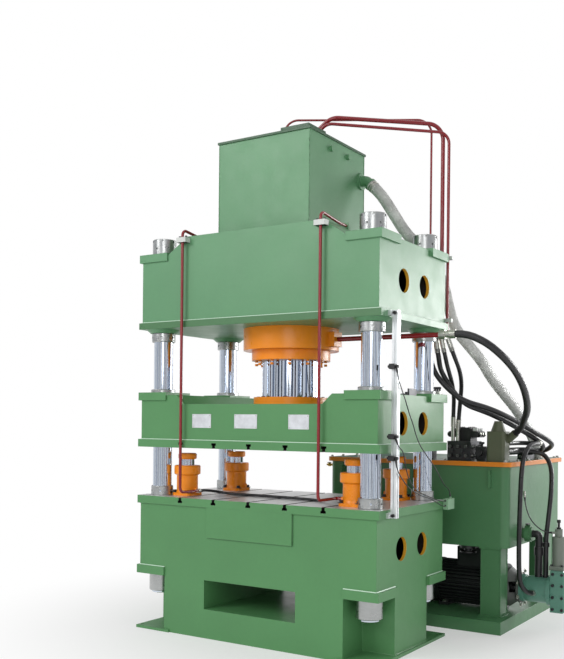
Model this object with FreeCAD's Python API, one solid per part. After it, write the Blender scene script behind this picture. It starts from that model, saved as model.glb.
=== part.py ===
import FreeCAD, Part
import math
import os

from FreeCAD import Vector

os.makedirs("parts", exist_ok=True)

# Four-column hydraulic press with its power unit.
# Millimetres. +X runs to the right of the operator, the operator stands at -Y, +Z is up.
# The origin is on the floor, under the axis of the ram, midway between the four columns.

# ---------------------------------------------------------------- columns
column_to_end = 108.0
column_to_face = 117.0
column_diameter = 140.0
column_bore_clearance = 0.5
column_end_recess = 5.0
column_end_below_nut = 16.0
column_chamfer = 4.0

# ---------------------------------------------------------------- welded bodies
body_length = 1972.0
body_depth = 1052.0
wall = 48.0
end_wall = 22.0
side_overhang = 22.0
front_overhang = 13.0
sleeve_wall = 42.0

# ---------------------------------------------------------------- base and table
table_height = 990.0
table_plate_thickness = 58.0
foot_plate_thickness = 20.0
foot_plate_width = 311.0
anchor_hole_diameter = 26.0
anchor_edge_x = 32.0
anchor_edge_y = 33.0
notch_width = 238.0
notch_depth = 271.0
ledge_top = 472.0
ledge_thickness = 62.0
window_width = 766.0
window_bottom = 206.0
window_height = 206.0
tunnel_plate = 20.0
base_floor = 60.0
base_rib_x = 520.0
rib_thickness = 50.0
front_pad_width = 716.0
front_pad_height = 215.0
base_hole_height = 711.0

# ---------------------------------------------------------------- T-slots
slot_pitch = 300.0
slot_count = 5
slot_neck = 24.0
slot_head = 40.0
slot_neck_depth = 22.0
slot_head_depth = 17.0

# ---------------------------------------------------------------- slide
daylight = 361.0
slide_flange_thickness = 57.0
slide_middle_height = 317.0
slide_shoulder_height = 384.0
slide_pad_top_height = 404.0
slide_pad_thickness = 59.0
slide_chamfer_outer = 650.0
slide_chamfer_inner = 576.0
slide_hole_height = 193.0
slide_rib_x = 380.0

# ---------------------------------------------------------------- crown
column_opening = 1235.0
crown_flange_thickness = 47.0
crown_shoulder_height = 537.0
crown_middle_height = 655.0
crown_pad_top_height = 554.0
crown_pad_thickness = 59.0
crown_chamfer_outer = 745.0
crown_chamfer_inner = 565.0
crown_hole_height = 268.0
crown_rib_x = 420.0
crown_boss_thickness = 26.0
crown_boss_top_diameter = 256.0
crown_boss_bottom_diameter = 196.0

# ---------------------------------------------------------------- pads, side holes
pad_length = 263.0
pad_depth = 284.0
side_hole_diameter = 160.0
side_hole_spacing = 330.0

# ---------------------------------------------------------------- nuts and collars on the columns
crown_nut_diameter = 176.0
crown_nut_height = 120.0
base_nut_diameter = 176.0
base_nut_height = 130.0
crown_collar_diameter = 174.0
crown_collar_height = 66.0
table_collar_diameter = 164.0
table_collar_height = 70.0
tommy_hole_diameter = 16.0
tommy_hole_depth = 14.0
tommy_hole_count = 6
lower_hole_row_share = 0.42
nut_chamfer = 4.0

# ---------------------------------------------------------------- guide bushes in the slide
bush_running_clearance = 0.06
bush_outer_diameter = 168.0
bush_flange_diameter = 180.0
bush_flange_height = 25.0

# ---------------------------------------------------------------- main cylinder and ram
ram_diameter = 420.0
ram_running_clearance = 0.06
ram_socket_depth = 60.0
ram_top_height = 2740.0
barrel_outer_diameter = 600.0
barrel_bore_diameter = 440.0
barrel_height_above_crown = 830.0
barrel_cap_thickness = 110.0
barrel_ring_diameter = 704.0
barrel_ring_height = 159.0
gland_diameter = 579.0
gland_height = 74.0
gland_bolt_count = 12
gland_bolt_diameter = 24.0
gland_bolt_head = 10.0
gland_bolt_circle = 510.0
ram_flange_diameter = 546.0
ram_flange_height = 57.0
ram_flange_bolt_count = 8
ram_flange_bolt_diameter = 30.0
ram_flange_bolt_circle = 484.0
ram_flange_bolt_head = 12.0
piston_clearance = 0.08
piston_height = 150.0
port_block_length = 96.0
port_block_width = 110.0
port_block_height = 104.0

# ---------------------------------------------------------------- head tank on the crown
head_tank_length = 762.0
head_tank_depth = 790.0
head_tank_height = 665.0
head_tank_wall = 8.0
head_lid_thickness = 16.0
head_lid_overhang = 10.0
head_cover_thickness = 28.0
head_cover_left = 137.0
head_cover_right = 365.0
head_cover_front = -382.0
head_cover_back = -150.0
outlet_pipe_diameter = 76.0
outlet_knee_length = 53.0
outlet_bend = 40.0
outlet_flange_diameter = 124.0
outlet_flange_thickness = 14.0
tank_plug_diameter = 40.0
tank_plug_length = 22.0
tank_plug_drop = 70.0
tank_plug_positions_y = (-110.0, 135.0)
prefill_valve_diameter = 300.0
prefill_valve_height = 120.0
prefill_valve_upper_share = 0.7

# ---------------------------------------------------------------- buffer cylinders on the table
buffer_inset_x = 166.0
buffer_inset_y = 93.0
buffer_flange_side = 172.0
buffer_flange_corner = 30.0
buffer_flange_thickness = 22.0
buffer_neck_height = 20.0
buffer_body_diameter = 158.0
buffer_collar_diameter = 196.0
buffer_collar_height = 75.0
buffer_collar_chamfer = 12.0
buffer_body_height = 224.0
buffer_rod_diameter = 104.0
buffer_rod_clearance = 0.06
buffer_stroke_gap = 46.0
buffer_cap_diameter = 138.0
buffer_cap_height = 45.0
buffer_cap_chamfer = 8.0
buffer_rod_length_inside = 150.0
buffer_bolt_diameter = 20.0
buffer_bolt_height = 12.0
buffer_bolt_inset = 21.0

# ---------------------------------------------------------------- switch rail and striker
rail_side = 40.0
rail_stand_off = 20.0
rail_y = -401.0
rail_slot_width = 8.0
rail_slot_depth = 9.0
rail_end_above_crown_bottom = 42.0
rail_end_below_table = 52.0
rail_bracket_height = 34.0
rail_bracket_width = 64.0
switch_heights = (1906.0, 1460.0, 1322.0)
switch_diameter = 18.0
switch_length = 76.0
switch_clamp_width = 44.0
switch_clamp_height = 34.0
switch_nut_diameter = 30.0
switch_nut_thickness = 6.0
switch_gap = 5.0
striker_plate_thickness = 12.0
striker_length = 118.0
striker_width = 64.0
striker_height = 46.0
plate_thickness = 2.0
plate_positions_x = (-418.0, -34.0, 398.0)
plate_lengths = (168.0, 192.0, 161.0)
plate_height = 98.0
plate_bottom_above_slide = 147.0

# ---------------------------------------------------------------- rigid pipes
front_pipe_diameter = 21.0
front_pipe_stand_off = 34.0
front_pipe_bend = 38.0
front_pipe_left_inset = 129.0
front_pipe_right_inset = 140.0
table_port_height = 40.0
front_pipe_over_deck = 46.0
front_pipe_back_y = -220.0
front_pipe_drop = 34.0
pipe_block_side = 40.0
pipe_block_height = 34.0
pipe_clamp_length = 84.0
pipe_clamp_height = 36.0
rear_pipe_y = 578.0
rear_pipe_xs = (846.0, 938.0, 985.0)
rear_pipe_diameters = (16.0, 30.0, 22.0)
rear_pipe_top_heights = (3796.0, 3745.0, 3677.0)
rear_pipe_lid_points = ((-95.0, 25.0), (110.0, 15.0), (225.0, -63.0))
rear_pipe_shoulders = (None, (313.0, 15.0), (324.0, -63.0))
rear_pipe_rise = 45.0
rear_pipe_bends = (105.0, 112.0, 80.0)
rear_pipe_bottom_below_crown = 40.0
rear_clamps_above_crown_bottom = (75.0, 531.0)
rear_hose_drops = (90.0, 89.0, 88.0, 84.0)
rear_clamp_thickness = 26.0
rear_clamp_end_share = 1.4
short_pipe_x = 892.0
short_pipe_diameter = 24.0
short_pipe_height_above_crown = 210.0
short_pipe_bend = 36.0
cylinder_pipe_diameter = 34.0
cylinder_pipe_height_below_crown = 85.0
cylinder_pipe_end_x = 1174.0
union_diameter = 46.0
union_length = 114.0
striker_bolt_diameter = 36.0
hose_end_length = 80.0
crimp_wall = 3.0
hose_nut_wall = 4.0
return_crimp_wall = 5.0
prefill_clamp_wall = 7.0
union_nut_wall = 8.0
union_nut_length = 41.0
union_crimp_wall = 6.0
union_crimp_length = 43.0
hose_nut_height = 22.0
port_boss_diameter = 30.0
port_boss_reach = 16.0
buffer_port_height = 44.0

# ---------------------------------------------------------------- power unit
unit_front = 777.0
unit_right = 1340.0
unit_length = 1538.0
unit_depth = 1643.0
skid_height = 95.0
skid_plate = 10.0
skid_wall = 14.0
tank_inset_front = 148.0
tank_inset_side = 7.0
tank_left_step = 1.0
tank_bottom_height = 615.0
tank_top_height = 1249.0
tank_wall = 6.0
tank_corner_radius = 55.0
rim_height = 35.0
rim_overhang = 22.0
lid_plate = 12.0
leg_side = 150.0
leg_wall = 10.0
leg_inset_x = 55.0
leg_inset_y = 13.0
leg_plate_side = 174.0
leg_plate_thickness = 12.0
lug_width = 46.0
lug_height = 130.0
lug_thickness = 14.0
lug_top_height = 1196.0
lug_hole_diameter = 24.0
drain_x = 1000.0
drain_diameter = 120.0
drain_thickness = 24.0

motor_y = 1300.0
shaft_height = 180.0
motor_end_x = 1215.0
motor_length = 560.0
motor_core_diameter = 300.0
motor_fin_diameter = 350.0
motor_fin_count = 36
motor_fin_root_share = 0.28
motor_fin_tip_share = 0.18
motor_end_shield = 40.0
motor_foot_width = 290.0
motor_foot_length = 80.0
motor_foot_thickness = 24.0
motor_foot_neck_share = 0.7
terminal_box_seat_share = 0.9
terminal_box_length = 210.0
terminal_box_width = 190.0
terminal_box_height = 118.0
fan_cover_length = 96.0
fan_cover_wall = 4.0
fan_diameter = 250.0
fan_thickness = 36.0
fan_blade_count = 7
fan_gap = 12.0
grille_slot_count = 5
shaft_diameter = 48.0
shaft_clearance = 0.05
bell_length = 115.0
bell_wall = 14.0
bell_outer_diameter = 300.0
bell_small_diameter = 210.0
bell_window_width = 110.0
coupling_diameter = 120.0
coupling_length = 58.0
coupling_jaw_count = 4
coupling_disc_length = 35.0
coupling_jaw_half_width = 14.0
coupling_jaw_inset = 1.0
fan_hub_share = 1.8
pump_diameter = 200.0
pump_length = 240.0
pump_flange_diameter = 232.0
pump_flange_thickness = 30.0
pump_spigot_share = 0.9
pump_shoulder_share = 0.94
pump_head_length = 110.0
pump_head_width = 170.0
pump_head_below_axis = 150.0
pump_head_above_axis = 165.0

manifold_x = 930.0
manifold_y = 1080.0
manifold_length = 190.0
manifold_width = 230.0
manifold_height = 150.0
manifold_port_offsets = (-53.0, 23.0)
valve_height = 106.0
valve_solenoid_diameter = 48.0
valve_solenoid_length = 70.0
valve_count = 3
valve_body_length = 118.0
valve_body_width = 45.0
valve_pitch = 47.5
valve_row_start = -27.6
valve_tube_diameter = 42.0
filter_x = 1227.0
filter_y = 1010.0
filter_side = 140.0
filter_block_height = 229.0
filter_cone_height = 78.0
filter_cone_diameter = 112.0
filter_cap_diameter = 59.0
small_valve_positions = ((1085.0, 1045.0), (1130.0, 1185.0), (640.0, 1090.0), (780.0, 1240.0))
small_valve_side = 74.0
small_valve_height = 112.0
small_valve_coil_height = 62.0
small_valve_coil_length = 44.0
knob_diameter = 40.0
knob_height = 34.0

side_valve_y = 1300.0
side_valve_height = 700.0
side_valve_diameter = 130.0
side_valve_thickness = 40.0
side_valve_stub = 22.0
side_valve_neck_height = 70.0
side_valve_stub_diameter = 81.0
side_valve_cover_diameter = 107.0
side_valve_neck_diameter = 32.0
lever_pivot_start = 52.0
lever_pivot_hole_start = 39.0
lever_gap = 0.5
lever_pivot_diameter = 16.0
lever_clearance = 0.05
lever_length = 52.0
lever_width = 18.0
lever_thickness = 10.0

relief_body_diameter = 92.0
relief_body_height = 250.0
relief_beyond_pump_start = 278.0
relief_gland_reach = 44.0
relief_gland_offset = 28.0
relief_gland_height = 282.0
relief_flange_length = 110.0
relief_flange_width = 120.0
relief_cap_diameter = 57.0
relief_cap_height = 60.0
relief_arm_diameter = 46.0
relief_arm_length = 83.0
relief_arm_height = 175.0
pressure_pipe_diameter = 38.0
pressure_pipe_beyond_pump_start = 182.0
pressure_pipe_top = 640.0
pressure_collar_diameter = 53.0
pressure_collar_height = 32.0
suction_pipe_beyond_pump_start = 126.0
suction_pipe_diameter = 56.0
suction_bend = 42.0
suction_joint_diameter = 70.0
suction_joint_top = 600.0
suction_joint_height = 62.0
lid_pipe_diameter = 34.0
lid_pipe_large_diameter = 58.0
lid_pipe_bend = 44.0
lid_pipe_turn_run = 55.0
lid_pipe_upper_offset = 35.0
lid_pipe_lower_offset = 14.0
pressure_pipe_start_share = 0.4
return_block_x = 1190.0
return_block_length = 80.0
return_block_front = 1570.0
return_block_width = 190.0
return_block_height = 92.0
lid_socket_diameter = 128.0
lid_socket_thickness = 14.0
cable_bracket_length = 38.0
cable_bracket_front = 482.0
cable_bracket_width = 116.0
cable_bracket_top_above_table = 12.0
cable_bracket_height = 77.0
cable_gland_places = (
    ("switch_cable_top", (22.0, 78.0, 14.0)),
    ("switch_cable_middle", (22.0, -12.0, -12.0)),
    ("switch_cable_low", (22.0, -12.0, -49.0)),
)
gland_outer_diameter = 14.0
level_gland_diameter = 18.0
level_gland_length = 48.0
level_arm_diameter = 25.0
level_arm_height = 32.0
switch_plug_side = 20.0
switch_plug_stand_off = 8.0

# ---------------------------------------------------------------- flexible hoses and cables
return_hose_diameter = 50.0
supply_hose_diameter = 38.0
manifold_hose_diameter = 32.0
prefill_hose_diameter = 84.0
pump_hose_diameter = 36.0
valve_hose_diameter = 36.0
table_hose_diameter = 20.0
switch_cable_diameter = 7.0
level_cable_diameter = 9.0

# Each route is a list of points: the tube bends from one run to the next at every inner point.
routes = {
    "return_hose": (return_hose_diameter, [
        (1288, 0, 2140), (1363, 0, 2140), (1485, 39, 2079), (1552, 120, 2006), (1582, 227, 1944),
        (1592, 338, 1886), (1594, 445, 1819), (1583, 551, 1751), (1561, 658, 1688), (1525, 764, 1630),
        (1469, 861, 1573), (1414, 986, 1520), (1358, 1012, 1478),
    ]),
    "prefill_hose": (prefill_hose_diameter, [
        (470, 345, 3310), (547, 345, 3242), (641, 374, 3083), (715, 435, 2937), (780, 580, 2848),
        (831, 700, 2734), (885, 753, 2585), (917, 768, 2416), (957, 809, 2253), (1030, 911, 2135),
        (1084, 1032, 2026), (1111, 1156, 1910), (1145, 1292, 1811), (1173, 1437, 1724),
        (1197, 1580, 1633), (1220, 1711, 1525), (1255, 1835, 1391), (1255, 1860, 1290),
    ]),
    "supply_hose_upper": (supply_hose_diameter, [
        (846, 587, 2095), (846, 593, 2039), (872, 601, 1938), (918, 628, 1860), (982, 645, 1791),
        (1044, 690, 1734), (1095, 763, 1702), (1140, 845, 1684), (1188, 924, 1661), (1234, 1001, 1633),
        (1272, 1083, 1603), (1306, 1166, 1572), (1340, 1248, 1540), (1371, 1331, 1507),
        (1395, 1417, 1474), (1432, 1496, 1439), (1469, 1576, 1399), (1438, 1663, 1365),
        (1358, 1719, 1328), (1300, 1722, 1325),
    ]),
    "supply_hose_lower": (supply_hose_diameter, [
        (905, 589, 2096), (913, 595, 2042), (902, 649, 1956), (927, 692, 1877), (969, 720, 1801),
        (1013, 760, 1730), (1060, 822, 1680), (1109, 897, 1655), (1154, 973, 1630), (1196, 1050, 1601),
        (1238, 1125, 1569), (1275, 1203, 1536), (1301, 1286, 1507), (1332, 1367, 1475),
        (1385, 1428, 1429), (1422, 1501, 1382), (1391, 1573, 1341), (1330, 1592, 1331),
    ]),
    "manifold_hose_left": (manifold_hose_diameter, [
        (956, 585, 2097), (965, 589, 2051), (964, 635, 1976), (961, 688, 1917), (953, 748, 1866),
        (940, 809, 1817), (923, 867, 1766), (903, 921, 1711), (879, 974, 1646), (874, 985, 1600),
    ]),
    "manifold_hose_right": (manifold_hose_diameter, [
        (1014, 587, 2101), (1030, 592, 2054), (1046, 638, 1978), (1036, 705, 1930), (1022, 767, 1877),
        (1002, 824, 1820), (977, 876, 1762), (952, 925, 1700), (927, 971, 1626), (918, 985, 1580),
    ]),
    "pump_hose": (pump_hose_diameter, [
        (1440, 1345, 1398), (1440, 1281, 1398), (1416, 1167, 1389), (1399, 1093, 1310),
        (1394, 1061, 1206), (1391, 1052, 1099), (1388, 1050, 992), (1386, 1047, 884),
        (1385, 1043, 777), (1385, 1039, 670), (1387, 1034, 563), (1391, 1028, 455), (1398, 1035, 346),
        (1423, 1119, 269), (1440, 1183, 262),
    ]),
    "valve_hose": (valve_hose_diameter, [
        (1300, 1440, 1335), (1341, 1471, 1335), (1423, 1506, 1314), (1478, 1484, 1250),
        (1506, 1445, 1179), (1518, 1407, 1104), (1525, 1374, 1026), (1527, 1344, 947),
        (1526, 1320, 865), (1522, 1304, 782), (1512, 1300, 690), (1512, 1300, 640),
    ]),
    "switch_cable_top": (switch_cable_diameter, [
        (1076, -443, 1880), (1076, -427, 1827), (1074, -357, 1750), (1068, -290, 1684),
        (1065, -233, 1610), (1061, -165, 1544), (1058, -110, 1468), (1056, -43, 1401),
        (1053, 38, 1353), (1051, 119, 1305), (1049, 200, 1259), (1046, 281, 1210), (1046, 352, 1149),
        (1042, 431, 1098), (1030, 539, 1070), (1030, 560, 1016),
    ]),
    "switch_cable_middle": (switch_cable_diameter, [
        (1076, -443, 1434), (1076, -415, 1397), (1072, -329, 1364), (1064, -289, 1295),
        (1060, -250, 1225), (1056, -195, 1166), (1052, -128, 1121), (1048, -54, 1091),
        (1045, 23, 1070), (1043, 101, 1052), (1042, 179, 1033), (1041, 257, 1015), (1039, 336, 1000),
        (1035, 423, 990), (1030, 470, 990),
    ]),
    "switch_cable_low": (switch_cable_diameter, [
        (1076, -443, 1296), (1077, -432, 1247), (1076, -350, 1186), (1067, -268, 1143),
        (1057, -185, 1113), (1053, -102, 1086), (1050, -17, 1062), (1046, 69, 1045), (1043, 156, 1029),
        (1041, 241, 1007), (1039, 325, 979), (1035, 418, 953), (1030, 470, 953),
    ]),
    "table_hose": (table_hose_diameter, [
        (-583, -330, 1030), (-583, -237, 1030), (-485, -117, 1000), (-333, -115, 1000),
        (-186, -125, 1001), (-40, -137, 1001), (107, -150, 1001), (253, -167, 1001), (398, -191, 998),
        (543, -249, 1034), (624, -281, 1034),
    ]),
    "level_cable": (level_cable_diameter, [
        (1349, 1278, 980), (1354, 1275, 930), (1388, 1252, 841), (1442, 1238, 774), (1513, 1259, 722),
        (1564, 1272, 722),
    ]),
}

# ================================================================ derived values
half_x = body_length / 2 - column_to_end
half_y = body_depth / 2 - column_to_face
buffer_x = half_x - buffer_inset_x
buffer_y = half_y - buffer_inset_y
front_pipe_left_x = -(buffer_x - front_pipe_left_inset)
front_pipe_right_x = buffer_x - front_pipe_right_inset
table_port_z = table_height + table_port_height
plate_length = body_length + 2 * side_overhang
plate_depth = body_depth + 2 * front_overhang
column_bore = column_diameter + column_bore_clearance
table_plate_bottom = table_height - table_plate_thickness
slide_bottom = table_height + daylight
slide_flange_top = slide_bottom + slide_flange_thickness
slide_middle_top = slide_bottom + slide_middle_height
slide_shoulder_top = slide_bottom + slide_shoulder_height
slide_pad_top = slide_bottom + slide_pad_top_height
crown_bottom = table_height + column_opening
crown_flange_top = crown_bottom + crown_flange_thickness
crown_shoulder_top = crown_bottom + crown_shoulder_height
crown_middle_top = crown_bottom + crown_middle_height
crown_pad_top = crown_bottom + crown_pad_top_height
column_top = crown_pad_top + crown_nut_height - column_end_recess
ledge_bottom = ledge_top - ledge_thickness
column_bottom = ledge_bottom - base_nut_height - column_end_below_nut
barrel_bottom = crown_bottom - barrel_ring_height
gland_bottom = barrel_bottom - gland_height
barrel_top = crown_middle_top + barrel_height_above_crown - crown_middle_height / 2
head_tank_top = crown_middle_top + head_tank_height
lid_top = head_tank_top + head_lid_thickness
front_face = -body_depth / 2
right_face = body_length / 2
plate_side = plate_length / 2
plate_front = -plate_depth / 2

unit_left = unit_right - unit_length
tank_left = unit_left + tank_inset_side + tank_left_step
tank_right = unit_right - tank_inset_side
tank_front = unit_front + tank_inset_front
tank_back = unit_front + unit_depth - tank_inset_front
unit_lid_top = tank_top_height + lid_plate
motor_axis = skid_height + shaft_height
pump_start = motor_end_x + bell_length
suction_pipe_x = pump_start + suction_pipe_beyond_pump_start
pressure_pipe_x = pump_start + pressure_pipe_beyond_pump_start
relief_x = pump_start + relief_beyond_pump_start


# ================================================================ helpers
def block(x0, x1, y0, y1, z0, z1):
    return Part.makeBox(x1 - x0, y1 - y0, z1 - z0, Vector(x0, y0, z0))


def centred_block(length, depth, z0, z1, x=0.0, y=0.0):
    return block(x - length / 2, x + length / 2, y - depth / 2, y + depth / 2, z0, z1)


def post(diameter, z0, z1, x=0.0, y=0.0):
    return Part.makeCylinder(diameter / 2, z1 - z0, Vector(x, y, z0))


def rod(diameter, start, direction, length):
    return Part.makeCylinder(diameter / 2, length, start, direction)


def ring(outer, inner, z0, z1, x=0.0, y=0.0):
    return post(outer, z0, z1, x, y).cut(post(inner, z0, z1, x, y))


def frustum(bottom, top, z0, z1, x=0.0, y=0.0):
    return Part.makeCone(bottom / 2, top / 2, z1 - z0, Vector(x, y, z0))


def union(shapes):
    first = shapes[0]
    if len(shapes) == 1:
        return first
    return first.multiFuse(shapes[1:]).removeSplitter()


def subtract(shape, tools):
    return shape.cut(Part.makeCompound(tools))


def prism(points, direction):
    corners = [Vector(*p) for p in points]
    face = Part.Face(Part.makePolygon(corners + corners[:1]))
    return face.extrude(Vector(*direction))


def corners(x=None, y=None):
    cx = half_x if x is None else x
    cy = half_y if y is None else y
    return [(-cx, -cy), (cx, -cy), (-cx, cy), (cx, cy)]


def turned(radii, x=0.0, y=0.0):
    """A body of revolution about a vertical axis, from (radius, height) pairs."""
    loop = [Vector(r, 0, z) for r, z in radii]
    face = Part.Face(Part.makePolygon(loop + loop[:1]))
    solid = face.revolve(Vector(0, 0, 0), Vector(0, 0, 1), 360)
    solid.translate(Vector(x, y, 0))
    return solid


def turned_along_x(radii, y, z):
    """A body of revolution about an axis along X, from (radius, x) pairs."""
    loop = [Vector(x, 0, r) for r, x in radii]
    face = Part.Face(Part.makePolygon(loop + loop[:1]))
    solid = face.revolve(Vector(0, 0, 0), Vector(1, 0, 0), 360)
    solid.translate(Vector(0, y, z))
    return solid


def rounded_box(x0, x1, y0, y1, z0, z1, radius):
    box = block(x0, x1, y0, y1, z0, z1)
    upright = [e for e in box.Edges if abs(e.tangentAt(e.FirstParameter).z) > 0.5]
    return box.makeFillet(radius, upright)


largest_share_of_run = 0.45


def route_wire(points, bend=None):
    """Straight runs joined by tangent arcs, each as large as its runs allow and no larger than the bend."""
    pts = [Vector(*p) for p in points]
    edges = []
    radii = []
    start = pts[0]
    for i in range(1, len(pts) - 1):
        back = pts[i - 1] - pts[i]
        ahead = pts[i + 1] - pts[i]
        turn = math.pi - back.getAngle(ahead)
        setback = largest_share_of_run * min(back.Length, ahead.Length)
        if bend is not None:
            setback = min(setback, bend * math.tan(turn / 2))
        radius = setback / math.tan(turn / 2)
        back.normalize()
        ahead.normalize()
        enter = pts[i] + back * setback
        leave = pts[i] + ahead * setback
        inward = back + ahead
        inward.normalize()
        centre_distance = radius / math.cos(turn / 2)
        middle = pts[i] + inward * (centre_distance - radius)
        edges.append(Part.LineSegment(start, enter).toShape())
        edges.append(Part.Arc(enter, middle, leave).toShape())
        radii.append(radius)
        start = leave
    edges.append(Part.LineSegment(start, pts[-1]).toShape())
    return Part.Wire(edges), radii


def tube(name, points, diameter, bend=None):
    wire, radii = route_wire(points, bend)
    first = Vector(*points[1]) - Vector(*points[0])
    section = Part.Wire(Part.makeCircle(diameter / 2, Vector(*points[0]), first))
    solid = wire.makePipeShell([section], True, False)
    ideal = math.pi * diameter * diameter / 4 * wire.Length
    if bend is None:
        tightest = min(radii) if radii else 0.0
        print("cord", name, "length", round(wire.Length), "mm, radii", [round(r) for r in radii],
              "least in diameters", round(tightest / diameter, 1),
              "volume ratio", round(solid.Volume / ideal, 4))
    return solid


def route_end(name, last=False):
    """The end point of a hose and the direction that points out of the hose there."""
    points = [Vector(*p) for p in routes[name][1]]
    tip, inner = (points[-1], points[-2]) if last else (points[0], points[1])
    out = tip - inner
    out.normalize()
    return tip, out


def crimp(name, last, diameter, length):
    """A fitting that meets a hose face to face and carries on along it."""
    tip, out = route_end(name, last)
    return rod(diameter, tip, out, length)


def make_hose(name):
    diameter, points = routes[name]
    return tube(name, points, diameter)


def write(name, shapes):
    if not isinstance(shapes, (list, tuple)):
        shapes = [shapes]
    solids = []
    for shape in shapes:
        solids.extend(shape.Solids)
    result = solids[0] if len(solids) == 1 else Part.makeCompound(solids)
    if not result.isValid():
        print("not valid:", name)
    result.exportStep("parts/" + name + ".step")


def t_slots(face_height, upward):
    """Prisms of the T-slots: open at face_height, and cut downward when upward is True."""
    side = -1.0 if upward else 1.0
    reach = plate_depth / 2 + front_overhang
    neck_end = face_height + side * slot_neck_depth
    head_end = neck_end + side * slot_head_depth
    outside = face_height - side * slot_neck_depth
    tools = []
    for i in range(slot_count):
        x = (i - (slot_count - 1) / 2) * slot_pitch
        section = [
            (x - slot_neck / 2, -reach, outside),
            (x - slot_neck / 2, -reach, neck_end),
            (x - slot_head / 2, -reach, neck_end),
            (x - slot_head / 2, -reach, head_end),
            (x + slot_head / 2, -reach, head_end),
            (x + slot_head / 2, -reach, neck_end),
            (x + slot_neck / 2, -reach, neck_end),
            (x + slot_neck / 2, -reach, outside),
        ]
        tools.append(prism(section, (0, 2 * reach, 0)))
    return tools


def beam_profile(bottom, shoulder, middle, outer, inner):
    """Front outline of a beam with two shoulders, extruded through its depth."""
    section = [
        (-right_face, front_face, bottom),
        (right_face, front_face, bottom),
        (right_face, front_face, shoulder),
        (outer, front_face, shoulder),
        (inner, front_face, middle),
        (-inner, front_face, middle),
        (-outer, front_face, shoulder),
        (-right_face, front_face, shoulder),
    ]
    return prism(section, (0, body_depth, 0))


def corner_pads(top, thickness):
    pads = []
    for sx in (-1, 1):
        for sy in (-1, 1):
            x = sx * (plate_side - pad_length / 2)
            y = sy * (plate_depth / 2 - pad_depth / 2)
            pads.append(centred_block(pad_length, pad_depth, top - thickness, top, x, y))
    return pads


def side_holes(height):
    tools = []
    for sx in (-1, 1):
        for sy in (-1, 1):
            start = Vector(sx * (right_face - end_wall - front_overhang), sy * side_hole_spacing / 2, height)
            tools.append(rod(side_hole_diameter, start, Vector(sx, 0, 0), end_wall + 2 * side_overhang))
    return tools


def end_cavities(bottom, top, rib_x):
    """Hollow ends of a beam between its plates, with the column sleeves left standing."""
    tools = []
    for sx in (-1, 1):
        x0 = rib_x + rib_thickness
        x1 = right_face - end_wall
        space = block(min(sx * x0, sx * x1), max(sx * x0, sx * x1),
                      front_face + wall, -front_face - wall, bottom, top)
        sleeves = []
        for sy in (-1, 1):
            sleeves.append(post(column_bore + 2 * sleeve_wall, bottom, top, sx * half_x, sy * half_y))
        tools.append(space.cut(Part.makeCompound(sleeves)))
    return tools


def column_bores(diameter, z0, z1):
    return [post(diameter, z0, z1, x, y) for x, y in corners()]


def tommy_holes(diameter, height, x, y, offset):
    tools = []
    for i in range(tommy_hole_count):
        angle = math.radians(360.0 / tommy_hole_count * i + offset)
        out = Vector(math.cos(angle), math.sin(angle), 0)
        start = Vector(x, y, height) + out * (diameter / 2 - tommy_hole_depth)
        tools.append(rod(tommy_hole_diameter, start, out, tommy_hole_depth * 2))
    return tools


def column_nut(diameter, bore, z0, z1, x, y, rows):
    """A round nut with chamfered rims and rows of holes for a tommy bar."""
    outer = diameter / 2
    nut = turned([
        (bore / 2, z0),
        (outer - nut_chamfer, z0),
        (outer, z0 + nut_chamfer),
        (outer, z1 - nut_chamfer),
        (outer - nut_chamfer, z1),
        (bore / 2, z1),
    ], x, y)
    tools = []
    for height, offset in rows:
        tools.extend(tommy_holes(diameter, height, x, y, offset))
    return subtract(nut, tools)


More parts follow.
